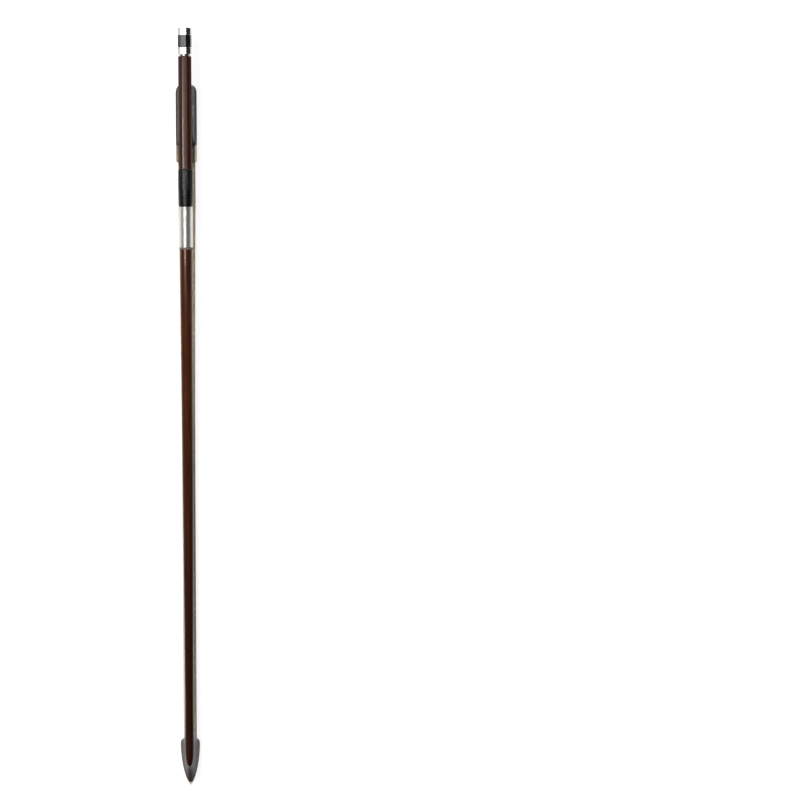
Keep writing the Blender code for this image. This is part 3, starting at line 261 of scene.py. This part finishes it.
def ebony_look(name, polish, shade):
    """Black wood with faint streaks and open pores, shade times as light."""
    look = Look(name, (0.010, 0.009, 0.009), polish, Specular_IOR_Level=0.30)
    streaks = look.noise(look.stretch(26, 1100, 1100), detail=5, rough=0.6)
    dark, light = (0.0075, 0.007, 0.0075), (0.022, 0.018, 0.016)
    dark, light = (tuple(shade * v for v in tone) for tone in (dark, light))
    look.color(look.ramp(streaks, [(0.35, dark), (0.7, light)]))
    scuffs = look.noise(look.stretch(420, 420, 420), detail=4)
    look.rough(look.ramp(scuffs, [(0.35, polish - 0.05), (0.7, polish + 0.1)]))
    pores = look.noise(look.stretch(240, 4800, 4800), detail=2)
    look.bump(look.ramp(pores, [(0.33, 0.0), (0.42, 1.0)]), 0.000012)
    return look.material


# Brushed lines on metal, as scales along and across the bow
LENGTHWISE_LINES = (300, 9000, 9000)
TURNED_LINES = (9000, 300, 300)
EVEN_MARKS = (900, 900, 900)
LINE_CONTRAST = 0.12


def metal_look(name, light, dark, roughness, brush=LENGTHWISE_LINES, patchiness=0.16):
    """Metal with fine brushed lines and a patchy tarnish."""
    look = Look(name, light, roughness, 1.0)
    patches = look.noise(look.stretch(170, 170, 170), detail=4, rough=0.6)
    look.color(look.ramp(patches, [(0.3, dark), (0.62, light)]))
    lines = look.noise(look.stretch(*brush), detail=2)
    tarnish = look.math("MULTIPLY", patches, patchiness)
    mixed = look.math("ADD", tarnish, look.math("MULTIPLY", lines, LINE_CONTRAST))
    look.rough(look.math("ADD", mixed, roughness - patchiness / 2 - LINE_CONTRAST / 2))
    look.bump(lines, 0.000004)
    return look.material


def pearl_look():
    """Mother of pearl: pale bands of pink and green under a clear coat."""
    look = Look("pearl", (0.75, 0.75, 0.72), 0.16, Coat_Weight=0.6, Coat_Roughness=0.05)
    swirl = look.noise(look.stretch(230, 420, 420), detail=3, rough=0.5, distortion=1.6)
    look.color(
        look.ramp(
            swirl,
            [
                (0.25, (0.42, 0.52, 0.50)),
                (0.40, (0.78, 0.80, 0.76)),
                (0.52, (0.80, 0.66, 0.68)),
                (0.64, (0.55, 0.70, 0.62)),
                (0.80, (0.86, 0.85, 0.80)),
            ],
        )
    )
    layers = look.noise(look.stretch(900, 1500, 1500), detail=2, distortion=1.0)
    look.bump(layers, 0.00001)
    return look.material


def leather_look():
    """Black leather with fine creases and a soft shine."""
    look = Look("grip_leather", (0.003, 0.0028, 0.0038), 0.27, Specular_IOR_Level=0.20)
    creases = look.cell_edges(look.stretch(1500, 1500, 1500))
    edge = look.ramp(creases, [(0.0, 0.0), (0.16, 1.0)])
    fine = look.noise(look.stretch(5200, 5200, 5200), detail=3)
    look.color(look.mix(edge, (0.0013, 0.0012, 0.0017), (0.0032, 0.0029, 0.0042)))
    look.rough(look.ramp(look.noise(look.stretch(260, 260, 260)), [(0.35, 0.21), (0.7, 0.32)]))
    look.bump(fine, 0.00001)
    look.bump(edge, 0.00003)
    return look.material


def hair_look():
    """Cream hair with darker strands and rosin dust."""
    look = Look("horsehair", (0.72, 0.63, 0.47), 0.45, Specular_IOR_Level=0.12)
    strands = look.noise(look.stretch(1.5, 4200, 2600), detail=3, rough=0.6)
    hair = look.ramp(
        strands,
        [(0.3, (0.68, 0.54, 0.34)), (0.46, (0.90, 0.79, 0.57)), (0.7, (0.98, 0.89, 0.71))],
    )
    rosin = look.noise(look.stretch(30, 260, 100), detail=3)
    look.color(look.mix(look.math("MULTIPLY", rosin, 0.25), hair, (0.88, 0.81, 0.67)))
    return look.material


def bone_look():
    """Cream bone with a faint lengthwise grain."""
    look = Look("face_plate_bone", (0.74, 0.66, 0.50), 0.35, Subsurface_Weight=0.05)
    grain = look.noise(look.stretch(60, 900, 900), detail=4)
    look.color(look.ramp(grain, [(0.3, (0.62, 0.53, 0.37)), (0.7, (0.80, 0.73, 0.58))]))
    look.bump(look.noise(look.stretch(500, 2600, 2600)), 0.000008)
    return look.material


def fibre_look():
    """Dark pressed fibre with flecks."""
    look = Look("liner_fibre", (0.02, 0.018, 0.016), 0.55)
    flecks = look.noise(look.stretch(900, 2600, 2600), detail=4)
    look.color(look.ramp(flecks, [(0.35, (0.010, 0.009, 0.008)), (0.7, (0.035, 0.030, 0.026))]))
    look.bump(flecks, 0.00001)
    return look.material


def raw_wood_look():
    """Bare pale wood with a clear grain."""
    look = Look("raw_maple", (0.55, 0.40, 0.24), 0.6)
    grain = look.noise(look.stretch(70, 1500, 1500), detail=5, rough=0.6)
    look.color(look.ramp(grain, [(0.32, (0.38, 0.25, 0.13)), (0.68, (0.62, 0.47, 0.29))]))
    look.bump(grain, 0.00002)
    return look.material


def thread_look(name, dark, light):
    """Twisted thread: fine slanting lines round the bundle."""
    look = Look(name, light, 0.6)
    twist = look.noise(look.stretch(7000, 2500, 2500), detail=3)
    look.color(look.ramp(twist, [(0.35, dark), (0.65, light)]))
    look.bump(twist, 0.00003)
    return look.material


STICK = stick_look()
EBONY = ebony_look("frog_ebony", 0.36, 0.8)
BUTTON_EBONY = ebony_look("button_ebony", 0.26, 0.35)
NICKEL = metal_look("nickel_silver", (0.40, 0.355, 0.27), (0.28, 0.24, 0.17), 0.36)
SILVER = metal_look(
    "polished_silver", (0.52, 0.485, 0.46), (0.44, 0.405, 0.38), 0.16, TURNED_LINES
)
WIRE = metal_look(
    "silver_wire", (0.84, 0.82, 0.79), (0.76, 0.73, 0.69), 0.33, EVEN_MARKS, patchiness=0.03
)
STEEL = metal_look("turned_steel", (0.50, 0.50, 0.52), (0.38, 0.37, 0.37), 0.32, TURNED_LINES)
BRASS = metal_look("plain_brass", (0.62, 0.44, 0.17), (0.44, 0.29, 0.10), 0.32)
PEARL = pearl_look()
LEATHER = leather_look()
HAIR = hair_look()
BONE = bone_look()
FIBRE = fibre_look()
RAW_WOOD = raw_wood_look()
DARK_THREAD = thread_look("dark_thread", (0.018, 0.011, 0.008), (0.07, 0.045, 0.032))
PALE_BRAID = thread_look("pale_braid", (0.13, 0.11, 0.09), (0.50, 0.46, 0.40))

NODE_LOOKS = {
    "stick": STICK,
    "head_liner": FIBRE,
    "face_plate": BONE,
    "head_plug": RAW_WOOD,
    "hair_knot_head": DARK_THREAD,
    "grip_leather": LEATHER,
    "winding": WIRE,
    "winding_end_band": DARK_THREAD,
    "hair": HAIR,
    "screw": STEEL,
    "button_core": BUTTON_EBONY,
    "button_rear_ring": SILVER,
    "button_front_ring": SILVER,
    "button_pearl": PEARL,
    "frog": EBONY,
    "ferrule": NICKEL,
    "spread_wedge": RAW_WOOD,
    "slide": EBONY,
    "slide_pearl": PEARL,
    "eye_ring_left": NICKEL,
    "eye_ring_right": NICKEL,
    "eye_pearl_left": PEARL,
    "eye_pearl_right": PEARL,
    "groove_liner": NICKEL,
    "liner_pin_front": BRASS,
    "liner_pin_rear": BRASS,
    "eyelet": BRASS,
    "frog_plug": RAW_WOOD,
    "hair_knot_frog": DARK_THREAD,
}

# Width of the worn edge on the nodes that keep their CAD shape
WORN_EDGES = {
    "stick": 0.00025,
    "frog": 0.00012,
    "ferrule": 0.00015,
    "slide": 0.00015,
    "slide_pearl": 0.00008,
    "button_core": 0.00012,
    "button_rear_ring": 0.0001,
    "button_front_ring": 0.0001,
    "eye_ring_left": 0.0001,
    "eye_ring_right": 0.0001,
    "face_plate": 0.0002,
    "head_liner": 0.0001,
    "groove_liner": 0.00006,
}
PLAIN_EDGE = 0.00008
# Nodes whose flat faces look slightly crowned, as scraped and polished by hand
CROWNED = ("stick",)
WELD_DISTANCE = 0.000002
# How far the thin pieces swell into the clearance round them
SWELLING = {"head_liner": 0.00013, "face_plate": 0.00004}
SHARP_ANGLE = math.radians(28)
# The crease at the foot of the head's ridge isn't worn: (start along the bow, lowest height)
RIDGE_FOOT = (0.638, 0.0150)


def edge_key(first, second):
    """The same key for an edge's two ends in either order, to a hundredth of a millimetre."""
    ends = [tuple(round(v * 1e5) for v in end) for end in (first, second)]
    return tuple(sorted(ends))


def mark_wear(mesh):
    """Bevel weights on the sharp edges that wear, and a sharp crease at the ridge's foot."""
    welded = bmesh.new()
    welded.from_mesh(mesh)
    bmesh.ops.remove_doubles(welded, verts=welded.verts, dist=WELD_DISTANCE)
    marks = {}
    for edge in welded.edges:
        if len(edge.link_faces) == 2 and edge.calc_face_angle() > SHARP_ANGLE:
            ends = [vertex.co for vertex in edge.verts]
            foot = all(
                end.x > RIDGE_FOOT[0] + STICK_START_X and end.z > RIDGE_FOOT[1] for end in ends
            )
            marks[edge_key(*ends)] = foot
    welded.free()
    weights = mesh.attributes.new("bevel_weight_edge", "FLOAT", "EDGE")
    for edge in mesh.edges:
        foot = marks.get(edge_key(*(mesh.vertices[v].co for v in edge.vertices)))
        weights.data[edge.index].value = 1.0 if foot is False else 0.0
        edge.use_edge_sharp = foot is True


def dress_nodes():
    """Give every CAD node its look, smooth curves and softly worn edges."""
    for name, node in nodes.items():
        mesh = node.data
        mesh.materials.clear()
        mesh.materials.append(NODE_LOOKS[name])
        if "custom_normal" in mesh.attributes:
            mesh.attributes.remove(mesh.attributes["custom_normal"])
        mesh.shade_smooth()
        for edge in mesh.edges:
            edge.use_edge_sharp = False
        node.modifiers.new("Weld", "WELD").merge_threshold = WELD_DISTANCE
        bevel = node.modifiers.new("Worn edges", "BEVEL")
        if name == "stick":
            mark_wear(mesh)
        bevel.limit_method = "WEIGHT" if name == "stick" else "ANGLE"
        bevel.angle_limit = SHARP_ANGLE
        bevel.width = WORN_EDGES.get(name, PLAIN_EDGE)
        bevel.segments = 3 if name in CROWNED else 2
        bevel.use_clamp_overlap = False
        if name in SWELLING:
            swell = node.modifiers.new("Swollen", "DISPLACE")
            swell.strength = SWELLING[name]
            swell.mid_level = 0.0
        flat = node.modifiers.new("Flat faces", "WEIGHTED_NORMAL")
        flat.mode = "CORNER_ANGLE" if name in CROWNED else "FACE_AREA"
        flat.keep_sharp = name in CROWNED


def new_piece(name, vertices, faces, material):
    """A smooth mesh piece made from arrays of points and faces."""
    mesh = bpy.data.meshes.new(name)
    mesh.from_pydata([tuple(v) for v in vertices], [], [tuple(f) for f in faces])
    mesh.validate()
    mesh.materials.append(material)
    mesh.shade_smooth()
    piece = bpy.data.objects.new(name, mesh)
    bpy.context.scene.collection.objects.link(piece)
    return piece


def ring_faces(rings, sides, closed=True, first=0):
    """Quads between rings of as many points, with an end cap on each end if closed."""
    faces = []
    for i in range(rings - 1):
        for k in range(sides):
            a = first + i * sides + k
            b = first + i * sides + (k + 1) % sides
            faces.append((a, b, b + sides, a + sides))
    if closed:
        faces.append(tuple(first + k for k in range(sides))[::-1])
        faces.append(tuple(first + (rings - 1) * sides + k for k in range(sides)))
    return faces


def tube(line, normals, radius, sides, height=1.0):
    """Points of a tube along a line, its first side towards the normals.

    The tube is height times as high as it is wide.
    """
    tangents = np.gradient(line, axis=0)
    tangents /= np.linalg.norm(tangents, axis=1)[:, None]
    across = np.cross(tangents, normals)
    across /= np.linalg.norm(across, axis=1)[:, None]
    out = np.cross(across, tangents)
    angles = np.arange(sides) * 2 * math.pi / sides
    turned = height * np.cos(angles)[None, :, None] * out[:, None]
    turned += np.sin(angles)[None, :, None] * across[:, None]
    return (line[:, None] + radius * turned).reshape(-1, 3)


def octagon_radius(angle, across, roundness):
    """Radius of an octagon with a flat on top, eased towards a circle."""
    eighth = math.pi / 4
    from_flat = (angle + eighth / 2) % eighth - eighth / 2
    octagon = across / 2 / np.cos(from_flat)
    return octagon + (across / 2 - octagon) * roundness


# Hair: separate strands in layers. Spreads and lifts are shares of the ribbon's width and thickness
STRANDS = 240
STRAND_RADIUS = 0.0001
STRAND_SIDES = 4
STRAND_LAYERS = 3
LAYER_STEP = 0.3
PLACE_SPREAD = 0.25
PLACE_LIMIT = 0.49
LIFT_SPREAD = 0.05
WANDER = 0.0045
FREE_POINTS = 14
# The ribbon's path as in the CAD model, as (x, z, width, thickness), free between two of its rows
FREE_START = 8
FREE_END = 15
HAIR_PATH = [
    (0.0699, 0.0077, 0.0096, 0.0010),
    (0.0710, 0.0072, 0.0096, 0.0010),
    (0.0715, 0.0059, 0.0101, 0.0010),
    (0.0719, 0.0042, 0.0106, 0.0010),
    (0.0736, 0.00325, 0.0113, 0.0010),
    (0.0760, 0.0030, 0.0123, 0.0010),
    (0.0843, 0.0030, 0.0151, 0.0010),
    (0.0965, 0.00155, 0.0167, 0.0010),
    (0.0998, 0.00155, 0.0168, 0.0010),
    (0.1380, 0.00153, 0.0166, 0.00099),
    (0.1880, 0.0015, 0.0153, 0.00098),
    (0.2500, 0.00147, 0.0143, 0.00097),
    (0.3250, 0.00143, 0.0132, 0.00096),
    (0.4000, 0.00139, 0.0127, 0.00094),
    (0.4800, 0.00134, 0.0124, 0.00093),
    (0.6445, 0.00125, 0.0122, 0.0009),
    (0.6476, 0.00125, 0.0110, 0.0009),
    (0.6492, 0.0016, 0.0106, 0.0009),
    (0.6503, 0.00265, 0.0101, 0.0009),
    (0.6507, 0.00435, 0.0095, 0.0009),
    (0.6512, 0.00615, 0.0088, 0.0009),
    (0.6531, 0.00725, 0.0086, 0.0009),
]


def make_hair():
    """Separate hairs laid side by side in a flat ribbon, a little uneven."""
    path = np.array(HAIR_PATH)
    path[:, 0] += STICK_START_X
    lengths = np.r_[0, np.cumsum(np.linalg.norm(np.diff(path[:, :2], axis=0), axis=1))]
    free = np.linspace(lengths[FREE_START], lengths[FREE_END], FREE_POINTS)
    fine = np.unique(np.r_[lengths, free])
    spine = np.stack([np.interp(fine, lengths, path[:, k]) for k in range(4)], axis=1)
    straight = (spine[:, 0] > path[FREE_START, 0]) & (spine[:, 0] < path[FREE_END, 0])
    slope = np.gradient(spine[:, :2], axis=0)
    slope /= np.linalg.norm(slope, axis=1)[:, None]
    up = np.stack([-slope[:, 1], np.zeros(len(spine)), slope[:, 0]], axis=1)
    centre = np.stack([spine[:, 0], np.zeros(len(spine)), spine[:, 1]], axis=1)
    points = []
    faces = []
    for n in range(STRANDS):
        layer = n % STRAND_LAYERS - 1
        place = (n + 0.5) / STRANDS - 0.5 + rng.normal(0, PLACE_SPREAD) / STRANDS
        place = min(max(place, -PLACE_LIMIT), PLACE_LIMIT)
        lift = layer * LAYER_STEP + rng.normal(0, LIFT_SPREAD)
        wander = rng.normal(0, WANDER)
        bend = np.sin(np.linspace(0, math.pi, len(spine)) * rng.integers(1, 4)) * wander
        line = centre.copy()
        line[:, 1] = spine[:, 2] * (place + bend * straight)
        line += up * (spine[:, 3] * lift)[:, None]
        first = len(points) * len(spine) * STRAND_SIDES
        points.append(tube(line, up, STRAND_RADIUS, STRAND_SIDES))
        faces += ring_faces(len(spine), STRAND_SIDES, first=first)
    hair = new_piece("hair_strands", np.concatenate(points), faces, HAIR)
    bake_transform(hair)
    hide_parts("hair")


# Winding: close turns of fine flat-rolled wire over a thin paper core
FINE_WIRE = 0.00033
WIRE_FLATNESS = 0.4
FINE_TURN_POINTS = 24
FINE_SIDES = 6
WIRE_FILL = 0.49
CORE_THICKNESS = 0.00055
SLEEVE_SIDES = 64


def seat_radius(x):
    """Radius of the round seat under the winding."""
    share = (x - GRIP_END_X) / (WINDING_END_X - GRIP_END_X)
    across = GRIP_FRONT_DIAMETER + (FORE_DIAMETER - GRIP_FRONT_DIAMETER) * share
    return across / 2 - WINDING_SEAT_DEPTH + WRAP_GAP


def round_sleeve(name, stations, material):
    """A closed sleeve round the stick through (x, inner radius, outer radius)."""
    sides = SLEEVE_SIDES
    angles = np.arange(sides) * 2 * math.pi / sides
    profile = [(x, outer) for x, _, outer in stations]
    profile += [(x, inner) for x, inner, _ in stations[::-1]]
    points = []
    for x, radius in profile:
        for angle in angles:
            height = HANDLE_AXIS_HEIGHT + radius * math.sin(angle)
            points.append((x + STICK_START_X, radius * math.cos(angle), height))
    faces = ring_faces(len(profile), sides, closed=False)
    last = (len(profile) - 1) * sides
    faces += [(last + k, last + (k + 1) % sides, (k + 1) % sides, k) for k in range(sides)]
    return new_piece(name, points, faces, material)


def make_winding():
    """A thin dark core with close turns of flat wire over it."""
    start = GRIP_END_X + SEAM_GAP
    end = WINDING_END_X - SEAM_GAP
    stations = [(x, seat_radius(x), seat_radius(x) + CORE_THICKNESS) for x in (start, end)]
    core = round_sleeve("winding_core", stations, DARK_THREAD)
    turns = int((end - start - FINE_WIRE) / FINE_WIRE)
    count = turns * FINE_TURN_POINTS
    share = np.linspace(0, 1, count + 1)
    x = start + FINE_WIRE / 2 + (end - start - FINE_WIRE) * share
    angle = 2 * math.pi * turns * share - math.pi / 2
    radius = seat_radius(x) + CORE_THICKNESS + WIRE_FLATNESS * FINE_WIRE / 2
    out = np.stack([np.zeros(count + 1), np.cos(angle), np.sin(angle)], axis=1)
    centre = np.stack([x + STICK_START_X, 0 * x, 0 * x + HANDLE_AXIS_HEIGHT], axis=1)
    line = centre + out * radius[:, None]
    wire = new_piece(
        "winding_wire",
        tube(line, out, FINE_WIRE * WIRE_FILL, FINE_SIDES, WIRE_FLATNESS),
        ring_faces(count + 1, FINE_SIDES),
        WIRE,
    )
    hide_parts("winding")
    for piece, slot in ((core, "thread"), (wire, "silver_wire")):
        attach(piece, "stick")


# End of the winding: a dark thread, then a ring braided from two strands
THREAD_GAP = 0.0001
THREAD_STEP = 0.0002
BRAID_STRAND = 0.00021
BRAID_OFFSET = 0.0004
BRAID_TWISTS = 26
BRAID_POINTS = 192
BRAID_SIDES = 6


def make_end_band():
    start = WINDING_END_X + THREAD_GAP
    base = FORE_DIAMETER / 2 + WRAP_GAP
    thread = THREAD_STEP
    dark = round_sleeve(
        "end_thread",
        [
            (start, base, base + thread),
            (start + thread, base, base + 1.5 * thread),
            (start + 2 * thread, base, base + thread),
        ],
        DARK_THREAD,
    )
    strand = BRAID_STRAND
    middle = start + 2 * thread + BRAID_OFFSET
    points = []
    faces = []
    for phase in (0.0, math.pi):
        angle = np.linspace(0, 2 * math.pi, BRAID_POINTS, endpoint=False)
        weave = angle * BRAID_TWISTS + phase
        radius = base + 1.4 * strand + 0.6 * strand * np.cos(weave)
        line = np.stack(
            [
                middle + 0.9 * strand * np.sin(weave) + STICK_START_X,
                radius * np.cos(angle),
                HANDLE_AXIS_HEIGHT + radius * np.sin(angle),
            ],
            axis=1,
        )
        closed = np.vstack([line, line[:1]])
        out = np.stack([0 * angle, np.cos(angle), np.sin(angle)], axis=1)
        first = sum(len(p) for p in points)
        points.append(tube(closed, np.vstack([out, out[:1]]), strand, BRAID_SIDES))
        faces += ring_faces(len(closed), BRAID_SIDES, first=first)
    braid = new_piece("end_braid", np.concatenate(points), faces, PALE_BRAID)
    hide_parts("winding_end_band")
    for piece in (dark, braid):
        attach(piece, "stick")


# Leather grip: pebbled, thinned at its ends, its edges meeting below the stick
GRIP_AROUND = 176
GRIP_ALONG = 112
PEBBLE = 0.00115
PEBBLE_HEIGHT = 0.00007
SKIVE_LENGTH = 0.0016
SKIVE_DEPTH = 0.00035
INNER_STEP = 14
JOIN_DEPTH = 0.0003
JOIN_WIDTH = 0.0004


def make_grip():
    length = GRIP_END_X - GRIP_START_X
    points = []
    for inner in (False, True):
        shares = np.linspace(0, 1, GRIP_ALONG)
        if inner:
            shares = shares[::-1][::INNER_STEP]
        for share in shares:
            x = GRIP_START_X + length * share
            roundness = share * share * (3 - 2 * share)
            soft = max(roundness, GRIP_SOFTNESS)
            across = GRIP_BACK_ACROSS + (GRIP_FRONT_ACROSS - GRIP_BACK_ACROSS) * share
            across += GRIP_BULGE * math.sin(math.pi * share)
            stick = HANDLE_ACROSS + (GRIP_FRONT_DIAMETER - HANDLE_ACROSS) * share
            from_end = min(share, 1 - share) * length
            skive = SKIVE_DEPTH * max(1 - from_end / SKIVE_LENGTH, 0) ** 2
            for k in range(GRIP_AROUND):
                angle = 2 * math.pi * k / GRIP_AROUND
                if inner:
                    radius = octagon_radius(angle, stick + 2 * WRAP_GAP, roundness)
                else:
                    radius = octagon_radius(angle, across, soft) - skive
                    place = Vector((x, radius * math.cos(angle), radius * math.sin(angle)))
                    distances, _ = noise.voronoi(place / PEBBLE)
                    radius += PEBBLE_HEIGHT * min(distances[1] - distances[0], 0.5)
                    radius += 0.5 * PEBBLE_HEIGHT * noise.noise(place / PEBBLE / 4)
                    below = (angle + math.pi / 2 + math.pi) % (2 * math.pi) - math.pi
                    radius -= JOIN_DEPTH * math.exp(-((below * radius / JOIN_WIDTH) ** 2))
                height = HANDLE_AXIS_HEIGHT + radius * math.sin(angle)
                points.append((x + STICK_START_X, radius * math.cos(angle), height))
    rings = len(points) // GRIP_AROUND
    faces = ring_faces(rings, GRIP_AROUND, closed=False)
    last = (rings - 1) * GRIP_AROUND
    around = range(GRIP_AROUND)
    faces += [(last + k, last + (k + 1) % GRIP_AROUND, (k + 1) % GRIP_AROUND, k) for k in around]
    grip = new_piece("grip_wrap", points, faces, LEATHER)
    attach(grip, "stick")
    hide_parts("grip_leather")


def outward_normals():
    """Turn every new piece's faces outwards."""
    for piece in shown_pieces():
        if "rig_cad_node" in piece:
            continue
        bm = bmesh.new()
        bm.from_mesh(piece.data)
        bmesh.ops.recalc_face_normals(bm, faces=bm.faces)
        bm.to_mesh(piece.data)
        bm.free()


# Studio: pale floor in a dim room, soft lights above the handle and a low one on the left
FLOOR_SIZE = 60.0
FLOOR_HEIGHT = -0.0002
FLOOR_GREY = 0.38
FLOOR_LIFT = 0.83
LIGHT_DISTANCE = 1.2
# name: (degrees from straight above at its left and right edge, start and end along X, radiance)
SOFT_BOXES = {
    "top_light_wide": (-33.0, 7.0, -1.00, 0.02, 2.0),
    "top_light_middle": (-31.0, -2.0, -0.95, -0.08, 2.5),
    "top_light_narrow": (-30.0, -9.0, -0.70, -0.16, 4.4),
    "top_light_line": (-17.0, -10.0, -0.50, -0.14, 26.0),
    "left_light": (-66.0, -44.0, -1.00, 0.60, 0.4),
}
WORLD_TOP = 0.08
WORLD_TOP_START = 0.5
WORLD_TOP_END = 0.9
WORLD_LEFT = 0.09
WORLD_RIGHT = 0.05


def soft_box(name, left, right, start, end, radiance):
    """A long soft light over the bow, between two angles round it."""
    light = bpy.data.lights.new(name, "AREA")
    light.shape = "RECTANGLE"
    light.size = end - start
    light.size_y = 2 * LIGHT_DISTANCE * math.tan(math.radians(right - left) / 2)
    light.energy = radiance * math.pi * light.size * light.size_y
    lamp = bpy.data.objects.new(name, light)
    angle = math.radians(left + right) / 2
    place = (math.sin(angle) * LIGHT_DISTANCE, math.cos(angle) * LIGHT_DISTANCE)
    lamp.location = ((start + end) / 2, *place)
    lamp.rotation_euler = (-angle, 0, 0)
    bpy.context.scene.collection.objects.link(lamp)


def make_floor():
    mesh = bpy.data.meshes.new("floor")
    half = FLOOR_SIZE / 2
    corners = [(-half, -half), (half, -half), (half, half), (-half, half)]
    mesh.from_pydata([(x, y, FLOOR_HEIGHT) for x, y in corners], [], [(0, 1, 2, 3)])
    floor = bpy.data.objects.new("floor", mesh)
    look = Look("floor_paper", (FLOOR_GREY,) * 3, 0.9, Specular_IOR_Level=0.1)
    look.shader.inputs["Emission Color"].default_value = (1, 1, 1, 1)
    path = look.add("ShaderNodeLightPath").outputs
    seen = look.math("MAXIMUM", path["Is Camera Ray"], path["Is Glossy Ray"])
    seen = look.math("MAXIMUM", seen, path["Is Transmission Ray"])
    look.link(look.math("MULTIPLY", seen, FLOOR_LIFT), look.shader.inputs["Emission Strength"])
    mesh.materials.append(look.material)
    bpy.context.scene.collection.objects.link(floor)
    floor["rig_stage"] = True


def make_world():
    """A dim room: lighter above and on the left, dark on the right."""
    world = bpy.data.worlds.new("studio")
    bpy.context.scene.world = world
    world.use_nodes = True
    tree = world.node_tree
    coords = tree.nodes.new("ShaderNodeTexCoord")
    split = tree.nodes.new("ShaderNodeSeparateXYZ")
    tree.links.new(coords.outputs["Generated"], split.inputs["Vector"])
    level = None
    for axis, low, high, first, last in (
        ("Y", -1.0, 1.0, WORLD_LEFT, WORLD_RIGHT),
        ("Z", WORLD_TOP_START, WORLD_TOP_END, 0.0, WORLD_TOP),
    ):
        ramp = tree.nodes.new("ShaderNodeMapRange")
        for socket, value in zip(list(ramp.inputs)[1:5], (low, high, first, last)):
            socket.default_value = value
        tree.links.new(split.outputs[axis], ramp.inputs["Value"])
        if level is None:
            level = ramp.outputs["Result"]
        else:
            total = tree.nodes.new("ShaderNodeMath")
            tree.links.new(level, total.inputs[0])
            tree.links.new(ramp.outputs["Result"], total.inputs[1])
            level = total.outputs["Value"]
    background = tree.nodes["Background"]
    tree.links.new(level, background.inputs["Strength"])
    background.inputs["Color"].default_value = (1.0, 1.0, 1.0, 1.0)


def make_camera():
    data = bpy.data.cameras.new("camera")
    data.sensor_width = CAMERA_SENSOR
    data.lens = CAMERA_SENSOR * CAMERA_DISTANCE / (FRAME_PIXELS * METRES_PER_PIXEL)
    data.clip_start = CAMERA_CLIP_START
    data.clip_end = 4 * CAMERA_DISTANCE
    camera = bpy.data.objects.new("camera", data)
    bpy.context.scene.collection.objects.link(camera)
    back = Vector((0, math.sin(CAMERA_ROLL), math.cos(CAMERA_ROLL)))
    along = Vector((1, 0, 0))
    side = back.cross(along)
    right = side * math.cos(BOW_LEAN) + along * math.sin(BOW_LEAN)
    up = back.cross(right)
    camera.matrix_world = Matrix.Translation(VIEW_CENTRE + back * CAMERA_DISTANCE) @ Matrix(
        (right, up, back)
    ).transposed().to_4x4()
    bpy.context.scene.camera = camera
    bpy.context.scene.view_settings.view_transform = "Standard"


make_camera()
make_world()
make_floor()
for light_name, light_place in SOFT_BOXES.items():
    soft_box(light_name, *light_place)
dress_nodes()
make_hair()
make_winding()
make_end_band()
make_grip()
outward_normals()
